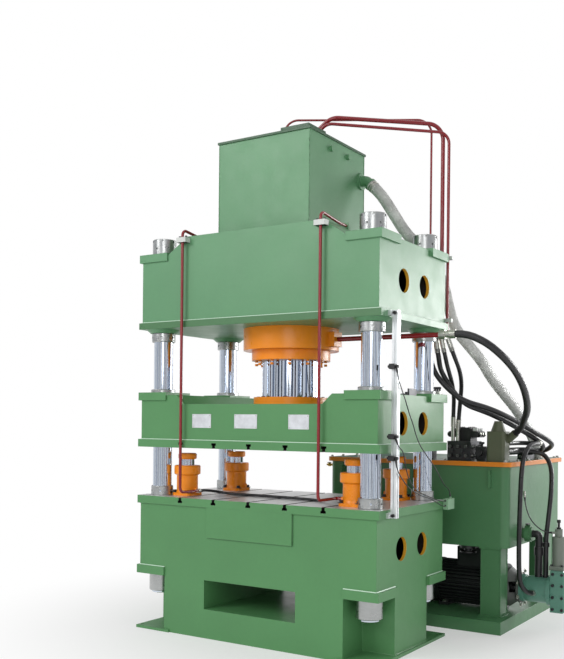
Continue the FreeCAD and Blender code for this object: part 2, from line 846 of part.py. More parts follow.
# ================================================================ press frame
def make_base():
    walls_bottom = foot_plate_thickness
    inner_x = plate_side - foot_plate_width
    body = block(-right_face, right_face, front_face, -front_face, walls_bottom, table_plate_bottom)
    keel = block(-inner_x, inner_x, front_face, -front_face, 0, walls_bottom)
    parts = [body, keel]
    pad_bottom = table_plate_bottom - front_pad_height
    parts.append(block(-front_pad_width / 2, front_pad_width / 2, plate_front, front_face,
                       pad_bottom, table_plate_bottom))
    for sx in (-1, 1):
        x0 = sx * inner_x
        x1 = sx * plate_side
        parts.append(block(min(x0, x1), max(x0, x1), plate_front, -plate_front, 0, walls_bottom))
        for sy in (-1, 1):
            lx = sx * (plate_side - (notch_width + side_overhang) / 2)
            ly = sy * (plate_depth / 2 - (notch_depth + front_overhang) / 2)
            parts.append(centred_block(notch_width + side_overhang, notch_depth + front_overhang,
                                       ledge_bottom, ledge_top, lx, ly))
    base = union(parts)

    tools = []
    for sx in (-1, 1):
        for sy in (-1, 1):
            nx = sx * (right_face + side_overhang - (notch_width + side_overhang) / 2)
            ny = sy * (-front_face + front_overhang - (notch_depth + front_overhang) / 2)
            tools.append(centred_block(notch_width + side_overhang, notch_depth + front_overhang,
                                       walls_bottom, ledge_bottom, nx, ny))
            ax = sx * (plate_side - anchor_edge_x)
            ay = sy * (-plate_front - anchor_edge_y)
            tools.append(post(anchor_hole_diameter, -walls_bottom, 2 * walls_bottom, ax, ay))
    roof = table_plate_bottom - wall
    centre = block(-base_rib_x, base_rib_x, front_face + wall, -front_face - wall, base_floor, roof)
    tools.append(centre)
    tools.append(block(-window_width / 2, window_width / 2, front_face - wall, -front_face + wall,
                       window_bottom, window_bottom + window_height))
    low_x0 = base_rib_x + rib_thickness
    low_x1 = right_face - notch_width - wall
    low_y = -front_face - notch_depth - wall
    for sx in (-1, 1):
        room_ends = sorted((sx * low_x0, sx * (right_face - end_wall)))
        tools.append(block(*room_ends, -low_y, low_y, base_floor, ledge_top))
        if low_x1 > low_x0:
            tools.append(block(min(sx * low_x0, sx * low_x1), max(sx * low_x0, sx * low_x1),
                               front_face + wall, -front_face - wall, base_floor, ledge_top))
    tools.extend(end_cavities(ledge_top, roof, base_rib_x))
    tools.extend(column_bores(column_bore, ledge_bottom - wall, table_height))
    tools.extend(side_holes(base_hole_height))
    for sx in (-1, 1):
        for sy in (-1, 1):
            start = Vector(sx * (base_rib_x - front_overhang), sy * side_hole_spacing / 2, base_hole_height)
            tools.append(rod(side_hole_diameter, start, Vector(sx, 0, 0), rib_thickness + 2 * front_overhang))
    base = subtract(base, tools)

    half = window_width / 2
    top = window_bottom + window_height
    t = tunnel_plate
    tunnel = block(-half - t, half + t, front_face + wall, -front_face - wall, window_bottom - t, top + t)
    passage = block(-half, half, front_face, -front_face, window_bottom, top)
    return union([base, tunnel.cut(passage)])


def make_table_plate():
    plate = centred_block(plate_length, plate_depth, table_plate_bottom, table_height)
    tools = t_slots(table_height, True)
    tools.extend(column_bores(column_bore, table_plate_bottom - wall, table_height + wall))
    return subtract(plate, tools)


def make_columns():
    shafts = []
    r = column_diameter / 2
    for x, y in corners():
        shafts.append(turned([
            (0, column_bottom),
            (r - column_chamfer, column_bottom),
            (r, column_bottom + column_chamfer),
            (r, column_top - column_chamfer),
            (r - column_chamfer, column_top),
            (0, column_top),
        ], x, y))
    return shafts


def make_crown_nuts():
    half_pitch = 180.0 / tommy_hole_count
    z0 = crown_pad_top
    z1 = crown_pad_top + crown_nut_height
    rows = ((z0 + crown_nut_height * lower_hole_row_share, half_pitch), (z1 - tommy_hole_diameter, 0.0))
    return [column_nut(crown_nut_diameter, column_diameter, z0, z1, x, y, rows) for x, y in corners()]


def make_crown_collars():
    z1 = crown_bottom - crown_boss_thickness
    z0 = z1 - crown_collar_height
    rows = (((z0 + z1) / 2, 0.0),)
    return [column_nut(crown_collar_diameter, column_diameter, z0, z1, x, y, rows) for x, y in corners()]


def make_table_collars():
    z0 = table_height
    z1 = z0 + table_collar_height
    rows = (((z0 + z1) / 2, 0.0),)
    return [column_nut(table_collar_diameter, column_diameter, z0, z1, x, y, rows) for x, y in corners()]


def make_base_nuts():
    z1 = ledge_bottom
    z0 = z1 - base_nut_height
    return [column_nut(base_nut_diameter, column_diameter, z0, z1, x, y, ()) for x, y in corners()]


def make_crown():
    body = beam_profile(crown_bottom, crown_shoulder_top, crown_middle_top,
                        crown_chamfer_outer, crown_chamfer_inner)
    parts = [body, centred_block(plate_length, plate_depth, crown_bottom, crown_flange_top)]
    parts.extend(corner_pads(crown_pad_top, crown_pad_thickness))
    for x, y in corners():
        parts.append(frustum(crown_boss_bottom_diameter, crown_boss_top_diameter,
                             crown_bottom - crown_boss_thickness, crown_bottom, x, y))
    for x in (front_pipe_left_x, front_pipe_right_x):
        parts.append(block(x - pipe_block_side / 2, x + pipe_block_side / 2, front_pipe_back_y,
                           front_pipe_back_y + pipe_block_side, crown_shoulder_top,
                           crown_middle_top + pipe_block_height))
    crown = union(parts)
    tools = end_cavities(crown_flange_top, crown_pad_top - crown_pad_thickness - wall, crown_rib_x)
    tools.extend(column_bores(column_bore, crown_bottom - 2 * crown_boss_thickness, column_top))
    tools.append(post(barrel_outer_diameter, crown_bottom - wall, crown_middle_top + wall))
    tools.extend(side_holes(crown_bottom + crown_hole_height))
    return subtract(crown, tools)


# ================================================================ head tank
def make_head_tank():
    x = head_tank_length / 2
    y = head_tank_depth / 2
    t = head_tank_wall
    shell = block(-x, x, -y, y, crown_middle_top, head_tank_top)
    hollow = block(-x + t, x - t, -y + t, y - t, crown_middle_top + t, head_tank_top + t)
    tank = shell.cut(hollow)
    plugs = []
    for py in tank_plug_positions_y:
        centre = Vector(x, py, head_tank_top - tank_plug_drop)
        plugs.append(rod(tank_plug_diameter, centre, Vector(1, 0, 0), tank_plug_length))
    tank = union([tank] + plugs)
    tools = [post(barrel_outer_diameter, crown_middle_top - wall, crown_middle_top + wall)]
    knee = outlet_knee()
    inlet = Vector(x - 2 * t, knee.y, knee.z)
    tools.append(rod(outlet_pipe_diameter - 2 * t, inlet, Vector(1, 0, 0), 4 * t))
    return [subtract(tank, tools), make_head_tank_outlet()]


def make_head_tank_lid():
    lid = centred_block(head_tank_length + 2 * head_lid_overhang, head_tank_depth + 2 * head_lid_overhang,
                        head_tank_top, lid_top)
    cover = block(head_cover_left, head_cover_right, head_cover_front, head_cover_back, lid_top,
                  lid_top + head_cover_thickness)
    lid = union([lid, cover])
    tools = []
    for (x, y), d in zip(rear_pipe_lid_points, rear_pipe_diameters):
        tools.append(post(d, head_tank_top - wall, lid_top + wall, x, y))
    return subtract(lid, tools)


def outlet_knee():
    tip, out = route_end("prefill_hose")
    return tip + out * outlet_knee_length


def make_head_tank_outlet():
    """A short elbow on the side of the head tank, pointing down to its hose."""
    x = head_tank_length / 2
    tip, out = route_end("prefill_hose")
    knee = outlet_knee()
    wall_point = (x, knee.y, knee.z)
    way = [wall_point, tuple(knee), tuple(tip)]
    elbow = tube("outlet", way, outlet_pipe_diameter, outlet_bend)
    flange = rod(outlet_flange_diameter, Vector(*wall_point), Vector(1, 0, 0), outlet_flange_thickness)
    lip = rod(prefill_hose_diameter + 2 * hose_nut_wall, tip, out, outlet_flange_thickness)
    inside = tube("outlet_bore", way, outlet_pipe_diameter - 2 * head_tank_wall, outlet_bend)
    return union([elbow, flange, lip]).cut(inside)


# ================================================================ main cylinder
def make_barrel():
    outer = barrel_outer_diameter / 2
    bore = barrel_bore_diameter / 2
    barrel = turned([
        (bore, barrel_bottom),
        (outer, barrel_bottom),
        (outer, barrel_top),
        (0, barrel_top),
        (0, barrel_top - barrel_cap_thickness),
        (bore, barrel_top - barrel_cap_thickness),
    ])
    return [barrel, make_prefill_valve()]


def make_barrel_ring():
    body = ring(barrel_ring_diameter, barrel_outer_diameter, barrel_bottom, crown_bottom)
    pipe_z = crown_bottom - cylinder_pipe_height_below_crown
    x0 = barrel_outer_diameter / 2
    x1 = barrel_ring_diameter / 2 + port_block_length - (barrel_ring_diameter - barrel_outer_diameter) / 2
    blk = block(x0, x1, -port_block_width / 2, port_block_width / 2,
                pipe_z - port_block_height / 2, pipe_z + port_block_height / 2)
    blk = blk.cut(post(barrel_outer_diameter, barrel_bottom - wall, crown_bottom + wall))
    return union([body, blk])


def make_gland():
    body = ring(gland_diameter, ram_diameter + 2 * ram_running_clearance, gland_bottom, barrel_bottom)
    heads = []
    for i in range(gland_bolt_count):
        a = 2 * math.pi * i / gland_bolt_count
        x = gland_bolt_circle / 2 * math.cos(a)
        y = gland_bolt_circle / 2 * math.sin(a)
        heads.append(post(gland_bolt_diameter, gland_bottom - gland_bolt_head, gland_bottom + 1, x, y))
    return union([body] + heads)


def make_ram():
    r = ram_diameter / 2
    rp = barrel_bore_diameter / 2 - piston_clearance
    z0 = slide_middle_top - ram_socket_depth
    return turned([
        (0, z0),
        (r, z0),
        (r, ram_top_height - piston_height),
        (rp, ram_top_height - piston_height),
        (rp, ram_top_height),
        (0, ram_top_height),
    ])


def make_ram_flange():
    z1 = slide_middle_top + ram_flange_height
    body = ring(ram_flange_diameter, ram_diameter, slide_middle_top, z1)
    seats = []
    for i in range(ram_flange_bolt_count):
        a = 2 * math.pi * (i + 0.5) / ram_flange_bolt_count
        x = ram_flange_bolt_circle / 2 * math.cos(a)
        y = ram_flange_bolt_circle / 2 * math.sin(a)
        seats.append(post(ram_flange_bolt_diameter, z1 - ram_flange_bolt_head, z1 + 1, x, y))
    return subtract(body, seats)


def make_prefill_valve():
    d = prefill_valve_diameter
    lower = post(d, barrel_top, barrel_top + wall)
    upper = post(d * prefill_valve_upper_share, barrel_top + wall, barrel_top + prefill_valve_height)
    return union([lower, upper])


# ================================================================ slide
def make_slide():
    body = beam_profile(slide_bottom, slide_shoulder_top, slide_middle_top,
                        slide_chamfer_outer, slide_chamfer_inner)
    parts = [body, centred_block(plate_length, plate_depth, slide_bottom, slide_flange_top)]
    parts.extend(corner_pads(slide_pad_top, slide_pad_thickness))
    slide = union(parts)
    roof = slide_middle_top - wall
    tools = end_cavities(slide_flange_top, roof, slide_rib_x)
    tools.extend(column_bores(bush_outer_diameter, slide_bottom - wall, slide_pad_top + wall))
    tools.extend(side_holes(slide_bottom + slide_hole_height))
    tools.extend(t_slots(slide_bottom, False))
    tools.append(post(ram_diameter, slide_middle_top - ram_socket_depth, slide_middle_top + wall))
    return subtract(slide, tools)


def make_guide_bushes():
    bushes = []
    bore = column_diameter / 2 + bush_running_clearance
    outer = bush_outer_diameter / 2
    flange = bush_flange_diameter / 2
    top = slide_pad_top + bush_flange_height
    for x, y in corners():
        bushes.append(turned([
            (bore, slide_bottom),
            (outer, slide_bottom),
            (outer, slide_pad_top),
            (flange, slide_pad_top),
            (flange, top - nut_chamfer),
            (flange - nut_chamfer, top),
            (bore, top),
        ], x, y))
    return bushes


def make_name_plates():
    z0 = slide_bottom + plate_bottom_above_slide
    y0 = front_face - plate_thickness
    return [block(x - length / 2, x + length / 2, y0, front_face, z0, z0 + plate_height)
            for x, length in zip(plate_positions_x, plate_lengths)]


def make_striker():
    z0 = slide_shoulder_top
    x1 = right_face - nut_chamfer
    y1 = striker_length / 2
    foot = block(x1 - striker_width, x1, -y1, y1, z0, z0 + striker_plate_thickness)
    wing = block(x1 - striker_plate_thickness, x1, -y1, y1, z0, z0 + striker_height)
    heads = []
    for sy in (-1, 1):
        heads.append(post(striker_bolt_diameter / 2, z0, z0 + 2 * striker_plate_thickness,
                          x1 - striker_width / 2 - nut_chamfer, sy * striker_length / 4))
    return union([foot, wing] + heads)


# ================================================================ buffer cylinders
buffer_body_top = table_height + buffer_body_height
buffer_cap_bottom = buffer_body_top + buffer_stroke_gap
buffer_cap_top = buffer_cap_bottom + buffer_cap_height


def make_buffer_bodies():
    bodies = []
    s = buffer_flange_side
    bore = buffer_rod_diameter / 2 + buffer_rod_clearance
    deep = buffer_body_top - buffer_rod_length_inside - buffer_stroke_gap
    shoulder = buffer_body_top - buffer_collar_height
    flange_top = table_height + buffer_flange_thickness
    for x, y in corners(buffer_x, buffer_y):
        flange = rounded_box(x - s / 2, x + s / 2, y - s / 2, y + s / 2, table_height, flange_top,
                             buffer_flange_corner)
        barrel = turned([
            (0, table_height),
            (s / 2 - 1, table_height),
            (s / 2 - 1, flange_top),
            (buffer_body_diameter / 2, flange_top + buffer_neck_height),
            (buffer_body_diameter / 2, shoulder),
            (buffer_collar_diameter / 2, shoulder + buffer_collar_chamfer),
            (buffer_collar_diameter / 2, buffer_body_top - buffer_collar_chamfer / 2),
            (buffer_collar_diameter / 2 - buffer_collar_chamfer / 2, buffer_body_top),
            (bore, buffer_body_top),
            (bore, deep),
            (0, deep),
        ], x, y)
        bolts = []
        reach = s / 2 - buffer_bolt_inset
        for bx in (-1, 1):
            for by in (-1, 1):
                bolts.append(post(buffer_bolt_diameter, flange_top - 1, flange_top + buffer_bolt_height,
                                  x + bx * reach, y + by * reach))
        ports = []
        height = table_height + buffer_port_height
        reach = buffer_body_diameter / 2 + port_boss_reach
        inward = Vector(-1 if x > 0 else 1, 0, 0)
        start = Vector(x, y, height) + inward * (reach - port_boss_reach * 2)
        ports.append(rod(port_boss_diameter, start, inward, port_boss_reach * 2))
        if x > 0 and y < 0:
            ports.append(crimp("table_hose", True, port_boss_diameter, port_boss_reach * 2))
        bodies.append(union([flange, barrel] + bolts + ports))
    return bodies


def make_buffer_rod(x, y):
    r = buffer_rod_diameter / 2
    rc = buffer_cap_diameter / 2
    c = buffer_cap_chamfer
    return turned([
        (0, buffer_body_top - buffer_rod_length_inside),
        (r, buffer_body_top - buffer_rod_length_inside),
        (r, buffer_cap_bottom),
        (rc - c, buffer_cap_bottom),
        (rc, buffer_cap_bottom + c),
        (rc, buffer_cap_top - c),
        (rc - c, buffer_cap_top),
        (0, buffer_cap_top),
    ], x, y)


# ================================================================ switch rail
rail_x0 = plate_side + rail_stand_off
rail_bottom = table_height - rail_end_below_table
rail_top = crown_bottom + rail_end_above_crown_bottom


def make_rail():
    y0 = rail_y - rail_side / 2
    y1 = rail_y + rail_side / 2
    x1 = rail_x0 + rail_side
    rail = block(rail_x0, x1, y0, y1, rail_bottom, rail_top)
    mid_x = rail_x0 + rail_side / 2
    d = rail_slot_depth
    w = rail_slot_width / 2
    tools = [
        block(mid_x - w, mid_x + w, y0 - 1, y0 + d, rail_bottom - 1, rail_top + 1),
        block(mid_x - w, mid_x + w, y1 - d, y1 + 1, rail_bottom - 1, rail_top + 1),
        block(x1 - d, x1 + 1, rail_y - w, rail_y + w, rail_bottom - 1, rail_top + 1),
    ]
    return [subtract(rail, tools)] + make_rail_brackets()


def make_rail_brackets():
    brackets = []
    y0 = rail_y - rail_side / 2
    for z in (rail_bottom, rail_top - rail_bracket_height):
        foot = block(plate_side, rail_x0, y0 - rail_bracket_width + rail_side, y0 + rail_side,
                     z, z + rail_bracket_height)
        bolt = rod(switch_diameter, Vector(rail_x0, y0 - (rail_bracket_width - rail_side) / 2,
                                           z + rail_bracket_height / 2), Vector(1, 0, 0), nut_chamfer * 2)
        brackets.append(union([foot, bolt]))
    return brackets


def make_switches():
    switches = []
    cables = ("switch_cable_top", "switch_cable_middle", "switch_cable_low")
    y_face = rail_y - rail_side / 2
    y_axis = y_face - switch_clamp_width / 2
    tip = plate_side + switch_gap
    for z, cable in zip(switch_heights, cables):
        clamp = block(rail_x0, rail_x0 + rail_side, y_face - switch_clamp_width, y_face,
                      z - switch_clamp_height / 2, z + switch_clamp_height / 2)
        sensor = rod(switch_diameter, Vector(tip, y_axis, z), Vector(1, 0, 0), switch_length)
        locknut = rod(switch_nut_diameter, Vector(rail_x0 - switch_nut_thickness, y_axis, z), Vector(1, 0, 0),
                      switch_nut_thickness)
        start, out = route_end(cable)
        plug_x = rail_x0 + rail_side + switch_plug_stand_off
        half = switch_plug_side / 2
        plug = block(plug_x - half, plug_x + half, y_axis - half, y_axis + half, z - half, z + half)
        collar = rod(gland_outer_diameter, Vector(plug_x, start.y, start.z), out, switch_plug_side)
        switches.append(union([clamp, sensor, locknut, plug, collar]))
    return switches


# ================================================================ rigid pipes
front_pipe_y = front_face - front_pipe_stand_off
front_deck_z = crown_middle_top + front_pipe_over_deck
rear_pipe_bottom = crown_bottom - rear_pipe_bottom_below_crown


def make_front_pipes():
    pipes = []
    hose_tip, out = route_end("table_hose")
    buffer_face = buffer_x - buffer_body_diameter / 2 - port_boss_reach
    for name, x in (("front_pipe_left", front_pipe_left_x), ("front_pipe_right", front_pipe_right_x)):
        seat = front_deck_z - front_pipe_drop
        way = [
            (x, front_pipe_back_y, seat),
            (x, front_pipe_back_y - 2 * front_pipe_bend, seat),
            (x, front_pipe_y, front_deck_z),
        ]
        if x < 0:
            way.append((x, front_pipe_y, table_port_z))
            way.append((x, hose_tip.y - hose_nut_height, table_port_z))
        else:
            low = table_height + buffer_port_height
            way.append((x, front_pipe_y, low))
            way.append((x, -buffer_y, low))
            way.append((buffer_face, -buffer_y, low))
        pipes.append(tube(name, way, front_pipe_diameter, front_pipe_bend))
    return pipes


def make_pipe_clamps():
    clamps = []
    z1 = crown_middle_top - pipe_clamp_height / 3
    for x in (front_pipe_left_x, front_pipe_right_x):
        saddle = block(x - pipe_clamp_length / 2, x + pipe_clamp_length / 2,
                       front_pipe_y - front_pipe_diameter, front_face, z1 - pipe_clamp_height, z1)
        groove = post(front_pipe_diameter, z1 - 2 * pipe_clamp_height, z1 + wall, x, front_pipe_y)
        clamps.append(saddle.cut(groove))
    y0 = rear_pipe_y - rear_clamp_thickness / 2
    lo = rear_pipe_xs[0] - 2 * rear_clamp_thickness
    hi = rear_pipe_xs[-1] + rear_clamp_end_share * rear_clamp_thickness
    for height in rear_clamps_above_crown_bottom:
        z = crown_bottom + height
        bar = block(lo, hi, y0, y0 + rear_clamp_thickness, z - rear_clamp_thickness / 2,
                    z + rear_clamp_thickness / 2)
        beside_pad = z + rear_clamp_thickness / 2 > crown_pad_top - crown_pad_thickness
        face = plate_depth / 2 if beside_pad else -front_face
        arm = block(lo, lo + rear_clamp_thickness, face, y0 + rear_clamp_thickness / 2,
                    z - rear_clamp_thickness / 2, z + rear_clamp_thickness / 2)
        bar = union([bar, arm])
        tools = [post(d, z - wall, z + wall, x, rear_pipe_y)
                 for x, d in zip(rear_pipe_xs, rear_pipe_diameters)]
        if not beside_pad:
            tools.append(post(short_pipe_diameter, z - wall, z + wall, short_pipe_x, rear_pipe_y))
        clamps.append(subtract(bar, tools))
    return clamps


def make_rear_pipes():
    pipes = []
    names = ("rear_pipe_thin", "rear_pipe_thick", "rear_pipe_outer")
    for i, name in enumerate(names):
        x = rear_pipe_xs[i]
        top = rear_pipe_top_heights[i]
        lx, ly = rear_pipe_lid_points[i]
        way = [(lx, ly, head_tank_top)]
        if rear_pipe_shoulders[i]:
            way.append((lx, ly, lid_top + rear_pipe_rise))
            way.append((*rear_pipe_shoulders[i], top))
        else:
            way.append((lx, ly, top))
        way.append((x, rear_pipe_y, top))
        way.append((x, rear_pipe_y, rear_pipe_bottom))
        pipes.append(tube(name, way, rear_pipe_diameters[i], rear_pipe_bends[i]))
    return pipes


def make_short_pipe():
    """A pipe that leaves the back of the crown and turns down beside the others."""
    z = crown_bottom + short_pipe_height_above_crown
    return tube("short_pipe", [
        (short_pipe_x, -front_face, z),
        (short_pipe_x, rear_pipe_y, z),
        (short_pipe_x, rear_pipe_y, rear_pipe_bottom),
    ], short_pipe_diameter, short_pipe_bend)


def make_hose_ends():
    """Nuts and crimped steel ends that join the rigid pipes and blocks to their hoses."""
    ends = []
    pairs = (
        (rear_pipe_xs[0], "supply_hose_upper", supply_hose_diameter),
        (short_pipe_x, "supply_hose_lower", supply_hose_diameter),
        (rear_pipe_xs[1], "manifold_hose_left", manifold_hose_diameter),
        (rear_pipe_xs[2], "manifold_hose_right", manifold_hose_diameter),
    )
    for (x, name, diameter), drop in zip(pairs, rear_hose_drops):
        nut = post(diameter + 2 * hose_nut_wall, rear_pipe_bottom - hose_nut_height, rear_pipe_bottom,
                   x, rear_pipe_y)
        tip, out = route_end(name)
        seat = Vector(tip.x, tip.y, rear_pipe_bottom - drop)
        ends.append(union([nut, rod(diameter + 2 * crimp_wall, seat, out, hose_end_length)]))
    for name in ("manifold_hose_left", "manifold_hose_right"):
        tip, out = route_end(name, True)
        knee = tip + out * hose_end_length
        port = post(port_boss_diameter, unit_lid_top + manifold_height, knee.z + hose_nut_height / 2,
                    knee.x, knee.y)
        end = crimp(name, True, manifold_hose_diameter + 2 * crimp_wall, hose_end_length)
        ends.append(union([port, end]))
    tip, out = route_end("table_hose")
    table_port = Vector(front_pipe_left_x, tip.y, table_port_z)
    ends.append(rod(port_boss_diameter, table_port, out, hose_nut_height))
    ends.append(make_pipe_union())
    ends.append(make_lid_socket())
    ends.append(make_level_gland())
    pump = rod(pump_diameter, Vector(pump_start, motor_y, motor_axis), Vector(1, 0, 0), pump_length)
    ends.append(crimp("pump_hose", True, pump_hose_diameter + 2 * hose_nut_wall, hose_end_length).cut(pump))
    return ends


def make_lid_socket():
    tip, out = route_end("prefill_hose", True)
    neck = crimp("prefill_hose", True, prefill_hose_diameter + 2 * prefill_clamp_wall, hose_end_length)
    flange = post(lid_socket_diameter, unit_lid_top, unit_lid_top + lid_socket_thickness, tip.x, tip.y)
    below = block(tip.x - lid_socket_diameter, tip.x + lid_socket_diameter, tip.y - lid_socket_diameter,
                  tip.y + lid_socket_diameter, unit_lid_top - 2 * hose_end_length, unit_lid_top)
    return union([neck, flange]).cut(below)


def make_level_gland():
    tip, out = route_end("level_cable")
    body = crimp("level_cable", False, level_gland_diameter, level_gland_length)
    arm_z = tip.z + level_arm_height
    arm = rod(level_arm_diameter, Vector(tank_right, tip.y, arm_z), Vector(1, 0, 0), tip.x - tank_right)
    return union([body, arm])


def make_cable_bracket():
    x0 = plate_side
    z1 = table_height + cable_bracket_top_above_table
    body = block(x0, x0 + cable_bracket_length,
                 cable_bracket_front, cable_bracket_front + cable_bracket_width,
                 z1 - cable_bracket_height, z1)
    corner = Vector(x0, cable_bracket_front, z1)
    glands = []
    for name, place in cable_gland_places:
        tip, out = route_end(name, True)
        glands.append(rod(gland_outer_diameter, corner + Vector(*place), out, hose_nut_height))
    return union([body] + glands)


pipe_z = crown_bottom - cylinder_pipe_height_below_crown
port_face = barrel_ring_diameter / 2 + port_block_length - (barrel_ring_diameter - barrel_outer_diameter) / 2


def make_cylinder_pipe():
    start = Vector(port_face, 0, pipe_z)
    return rod(cylinder_pipe_diameter, start, Vector(1, 0, 0), cylinder_pipe_end_x - port_face)


def make_pipe_union():
    x0 = cylinder_pipe_end_x
    along = Vector(1, 0, 0)
    nut = rod(union_diameter + 2 * union_nut_wall, Vector(x0, 0, pipe_z), along, union_nut_length)
    body = rod(union_diameter, Vector(x0, 0, pipe_z), along, union_length)
    crimp_start = Vector(x0 + union_length - union_crimp_length, 0, pipe_z)
    end = rod(union_diameter + 2 * union_crimp_wall, crimp_start, along, union_crimp_length)
    return union([nut, body, end])


# ================================================================ power unit
def make_skid():
    x1 = unit_right
    y1 = unit_front + unit_depth
    outer = block(unit_left, x1, unit_front, y1, 0, skid_height)
    w = skid_wall
    mid = unit_left + unit_length / 2
    top = skid_height - skid_plate
    left_pit = block(unit_left + w, mid - w / 2, unit_front + w, y1 - w, -w, top)
    right_pit = block(mid + w / 2, x1 - w, unit_front + w, y1 - w, -w, top)
    return subtract(outer, [left_pit, right_pit])


def leg_centres():
    xs = (tank_left + leg_inset_x + leg_side / 2, tank_right - leg_inset_x - leg_side / 2)
    ys = (tank_front + leg_inset_y + leg_side / 2, tank_back - leg_inset_y - leg_side / 2)
    return [(x, y) for x in xs for y in ys]


def make_legs():
    legs = []
    t = leg_plate_thickness
    for x, y in leg_centres():
        tube_body = centred_block(leg_side, leg_side, skid_height + t, tank_bottom_height - t, x, y)
        hollow = centred_block(leg_side - 2 * leg_wall, leg_side - 2 * leg_wall,
                               skid_height + t, tank_bottom_height - t, x, y)
        foot = centred_block(leg_plate_side, leg_plate_side, skid_height, skid_height + t, x, y)
        head = centred_block(leg_plate_side, leg_plate_side, tank_bottom_height - t, tank_bottom_height, x, y)
        legs.append(union([tube_body.cut(hollow), foot, head]))
    return legs


def make_oil_tank():
    r = tank_corner_radius
    t = tank_wall
    shell = rounded_box(tank_left, tank_right, tank_front, tank_back, tank_bottom_height, tank_top_height, r)
    hollow = rounded_box(tank_left + t, tank_right - t, tank_front + t, tank_back - t,
                         tank_bottom_height + t, tank_top_height + t, r - t)
    parts = [shell.cut(hollow)]
    lug_xs = (tank_left + leg_inset_x + leg_side / 2, tank_right - leg_inset_x - leg_side / 2)
    for x in lug_xs:
        for face, side in ((tank_front, -1), (tank_back, 1)):
            y0 = min(face, face + side * lug_width)
            y1 = max(face, face + side * lug_width)
            plate = block(x - lug_thickness / 2, x + lug_thickness / 2, y0, y1, lug_top_height - lug_height,
                          lug_top_height)
            start = Vector(x - lug_thickness, face + side * lug_width / 2, lug_top_height - lug_width / 2)
            eye = rod(lug_hole_diameter, start, Vector(1, 0, 0), 2 * lug_thickness)
            plate = plate.cut(eye)
            parts.append(plate)
    return union(parts)


def make_drain():
    y = tank_front + leg_side / 2
    top = tank_bottom_height
    return union([
        post(drain_diameter, top - drain_thickness, top, drain_x, y),
        post(drain_diameter / 2, top - 2 * drain_thickness, top, drain_x, y),
    ])


def make_unit_lid():
    o = rim_overhang
    z1 = unit_lid_top
    outer = rounded_box(tank_left - o, tank_right + o, tank_front - o, tank_back + o, z1 - rim_height, z1,
                        tank_corner_radius)
    inner = rounded_box(tank_left, tank_right, tank_front, tank_back, z1 - 2 * rim_height, tank_top_height,
                        tank_corner_radius)
    return outer.cut(inner)


def make_motor_body():
    x1 = motor_end_x
    x0 = x1 - motor_length
    z = motor_axis
    y = motor_y
    core = motor_core_diameter / 2
    fin = motor_fin_diameter / 2
    points = []
    n = motor_fin_count
    for i in range(n):
        for k, radius in ((-motor_fin_root_share, core), (-motor_fin_tip_share, fin),
                          (motor_fin_tip_share, fin), (motor_fin_root_share, core)):
            a = 2 * math.pi * (i + k) / n
            points.append((x0 + motor_end_shield, y + radius * math.cos(a), z + radius * math.sin(a)))
    finned = prism(points, (motor_length - 2 * motor_end_shield, 0, 0))
    left = rod(motor_fin_diameter - fan_cover_wall, Vector(x0, y, z), Vector(1, 0, 0), motor_end_shield)
    right = rod(motor_fin_diameter, Vector(x1 - motor_end_shield, y, z), Vector(1, 0, 0), motor_end_shield)
    parts = [finned, left, right]
    for fx in (x0 + motor_end_shield + motor_foot_length / 2, x1 - motor_end_shield - motor_foot_length / 2):
        parts.append(centred_block(motor_foot_length, motor_foot_width, skid_height,
                                   skid_height + motor_foot_thickness, fx, y))
        parts.append(centred_block(motor_foot_length * motor_foot_neck_share,
                                   motor_foot_width * motor_foot_neck_share,
                                   skid_height, z - core / 2, fx, y))
    box_x = x0 + motor_length / 2
    parts.append(centred_block(terminal_box_length, terminal_box_width, z + core * terminal_box_seat_share,
                               z + fin + terminal_box_height, box_x, y))
    body = union(parts)
    bore = rod(shaft_diameter + 2 * shaft_clearance, Vector(x0 - 1, y, z), Vector(1, 0, 0), motor_length + 2)
    return body.cut(bore)


def make_fan_cover():
    x1 = motor_end_x - motor_length
    x0 = x1 - fan_cover_length
    z = motor_axis
    along = Vector(1, 0, 0)
    d = motor_fin_diameter
    lap = motor_end_shield / 2
    outer = rod(d + 2 * fan_cover_wall, Vector(x0, motor_y, z), along, fan_cover_length + lap)
    inner = rod(d - 2 * fan_cover_wall, Vector(x0 + fan_cover_wall, motor_y, z), along,
                fan_cover_length - fan_cover_wall)
    seat = rod(d - fan_cover_wall, Vector(x1, motor_y, z), along, lap + 1)
    cover = outer.cut(inner).cut(seat)
    slots = []
    step = d / (grille_slot_count + 2)
    for i in range(grille_slot_count):
        dy = (i - (grille_slot_count - 1) / 2) * step
        half = math.sqrt(max((d / 2 - step) ** 2 - dy * dy, step * step))
        slots.append(block(x0 - 1, x0 + fan_cover_wall + 1, motor_y + dy - step / 4, motor_y + dy + step / 4,
                           z - half, z + half))
    return subtract(cover, slots)


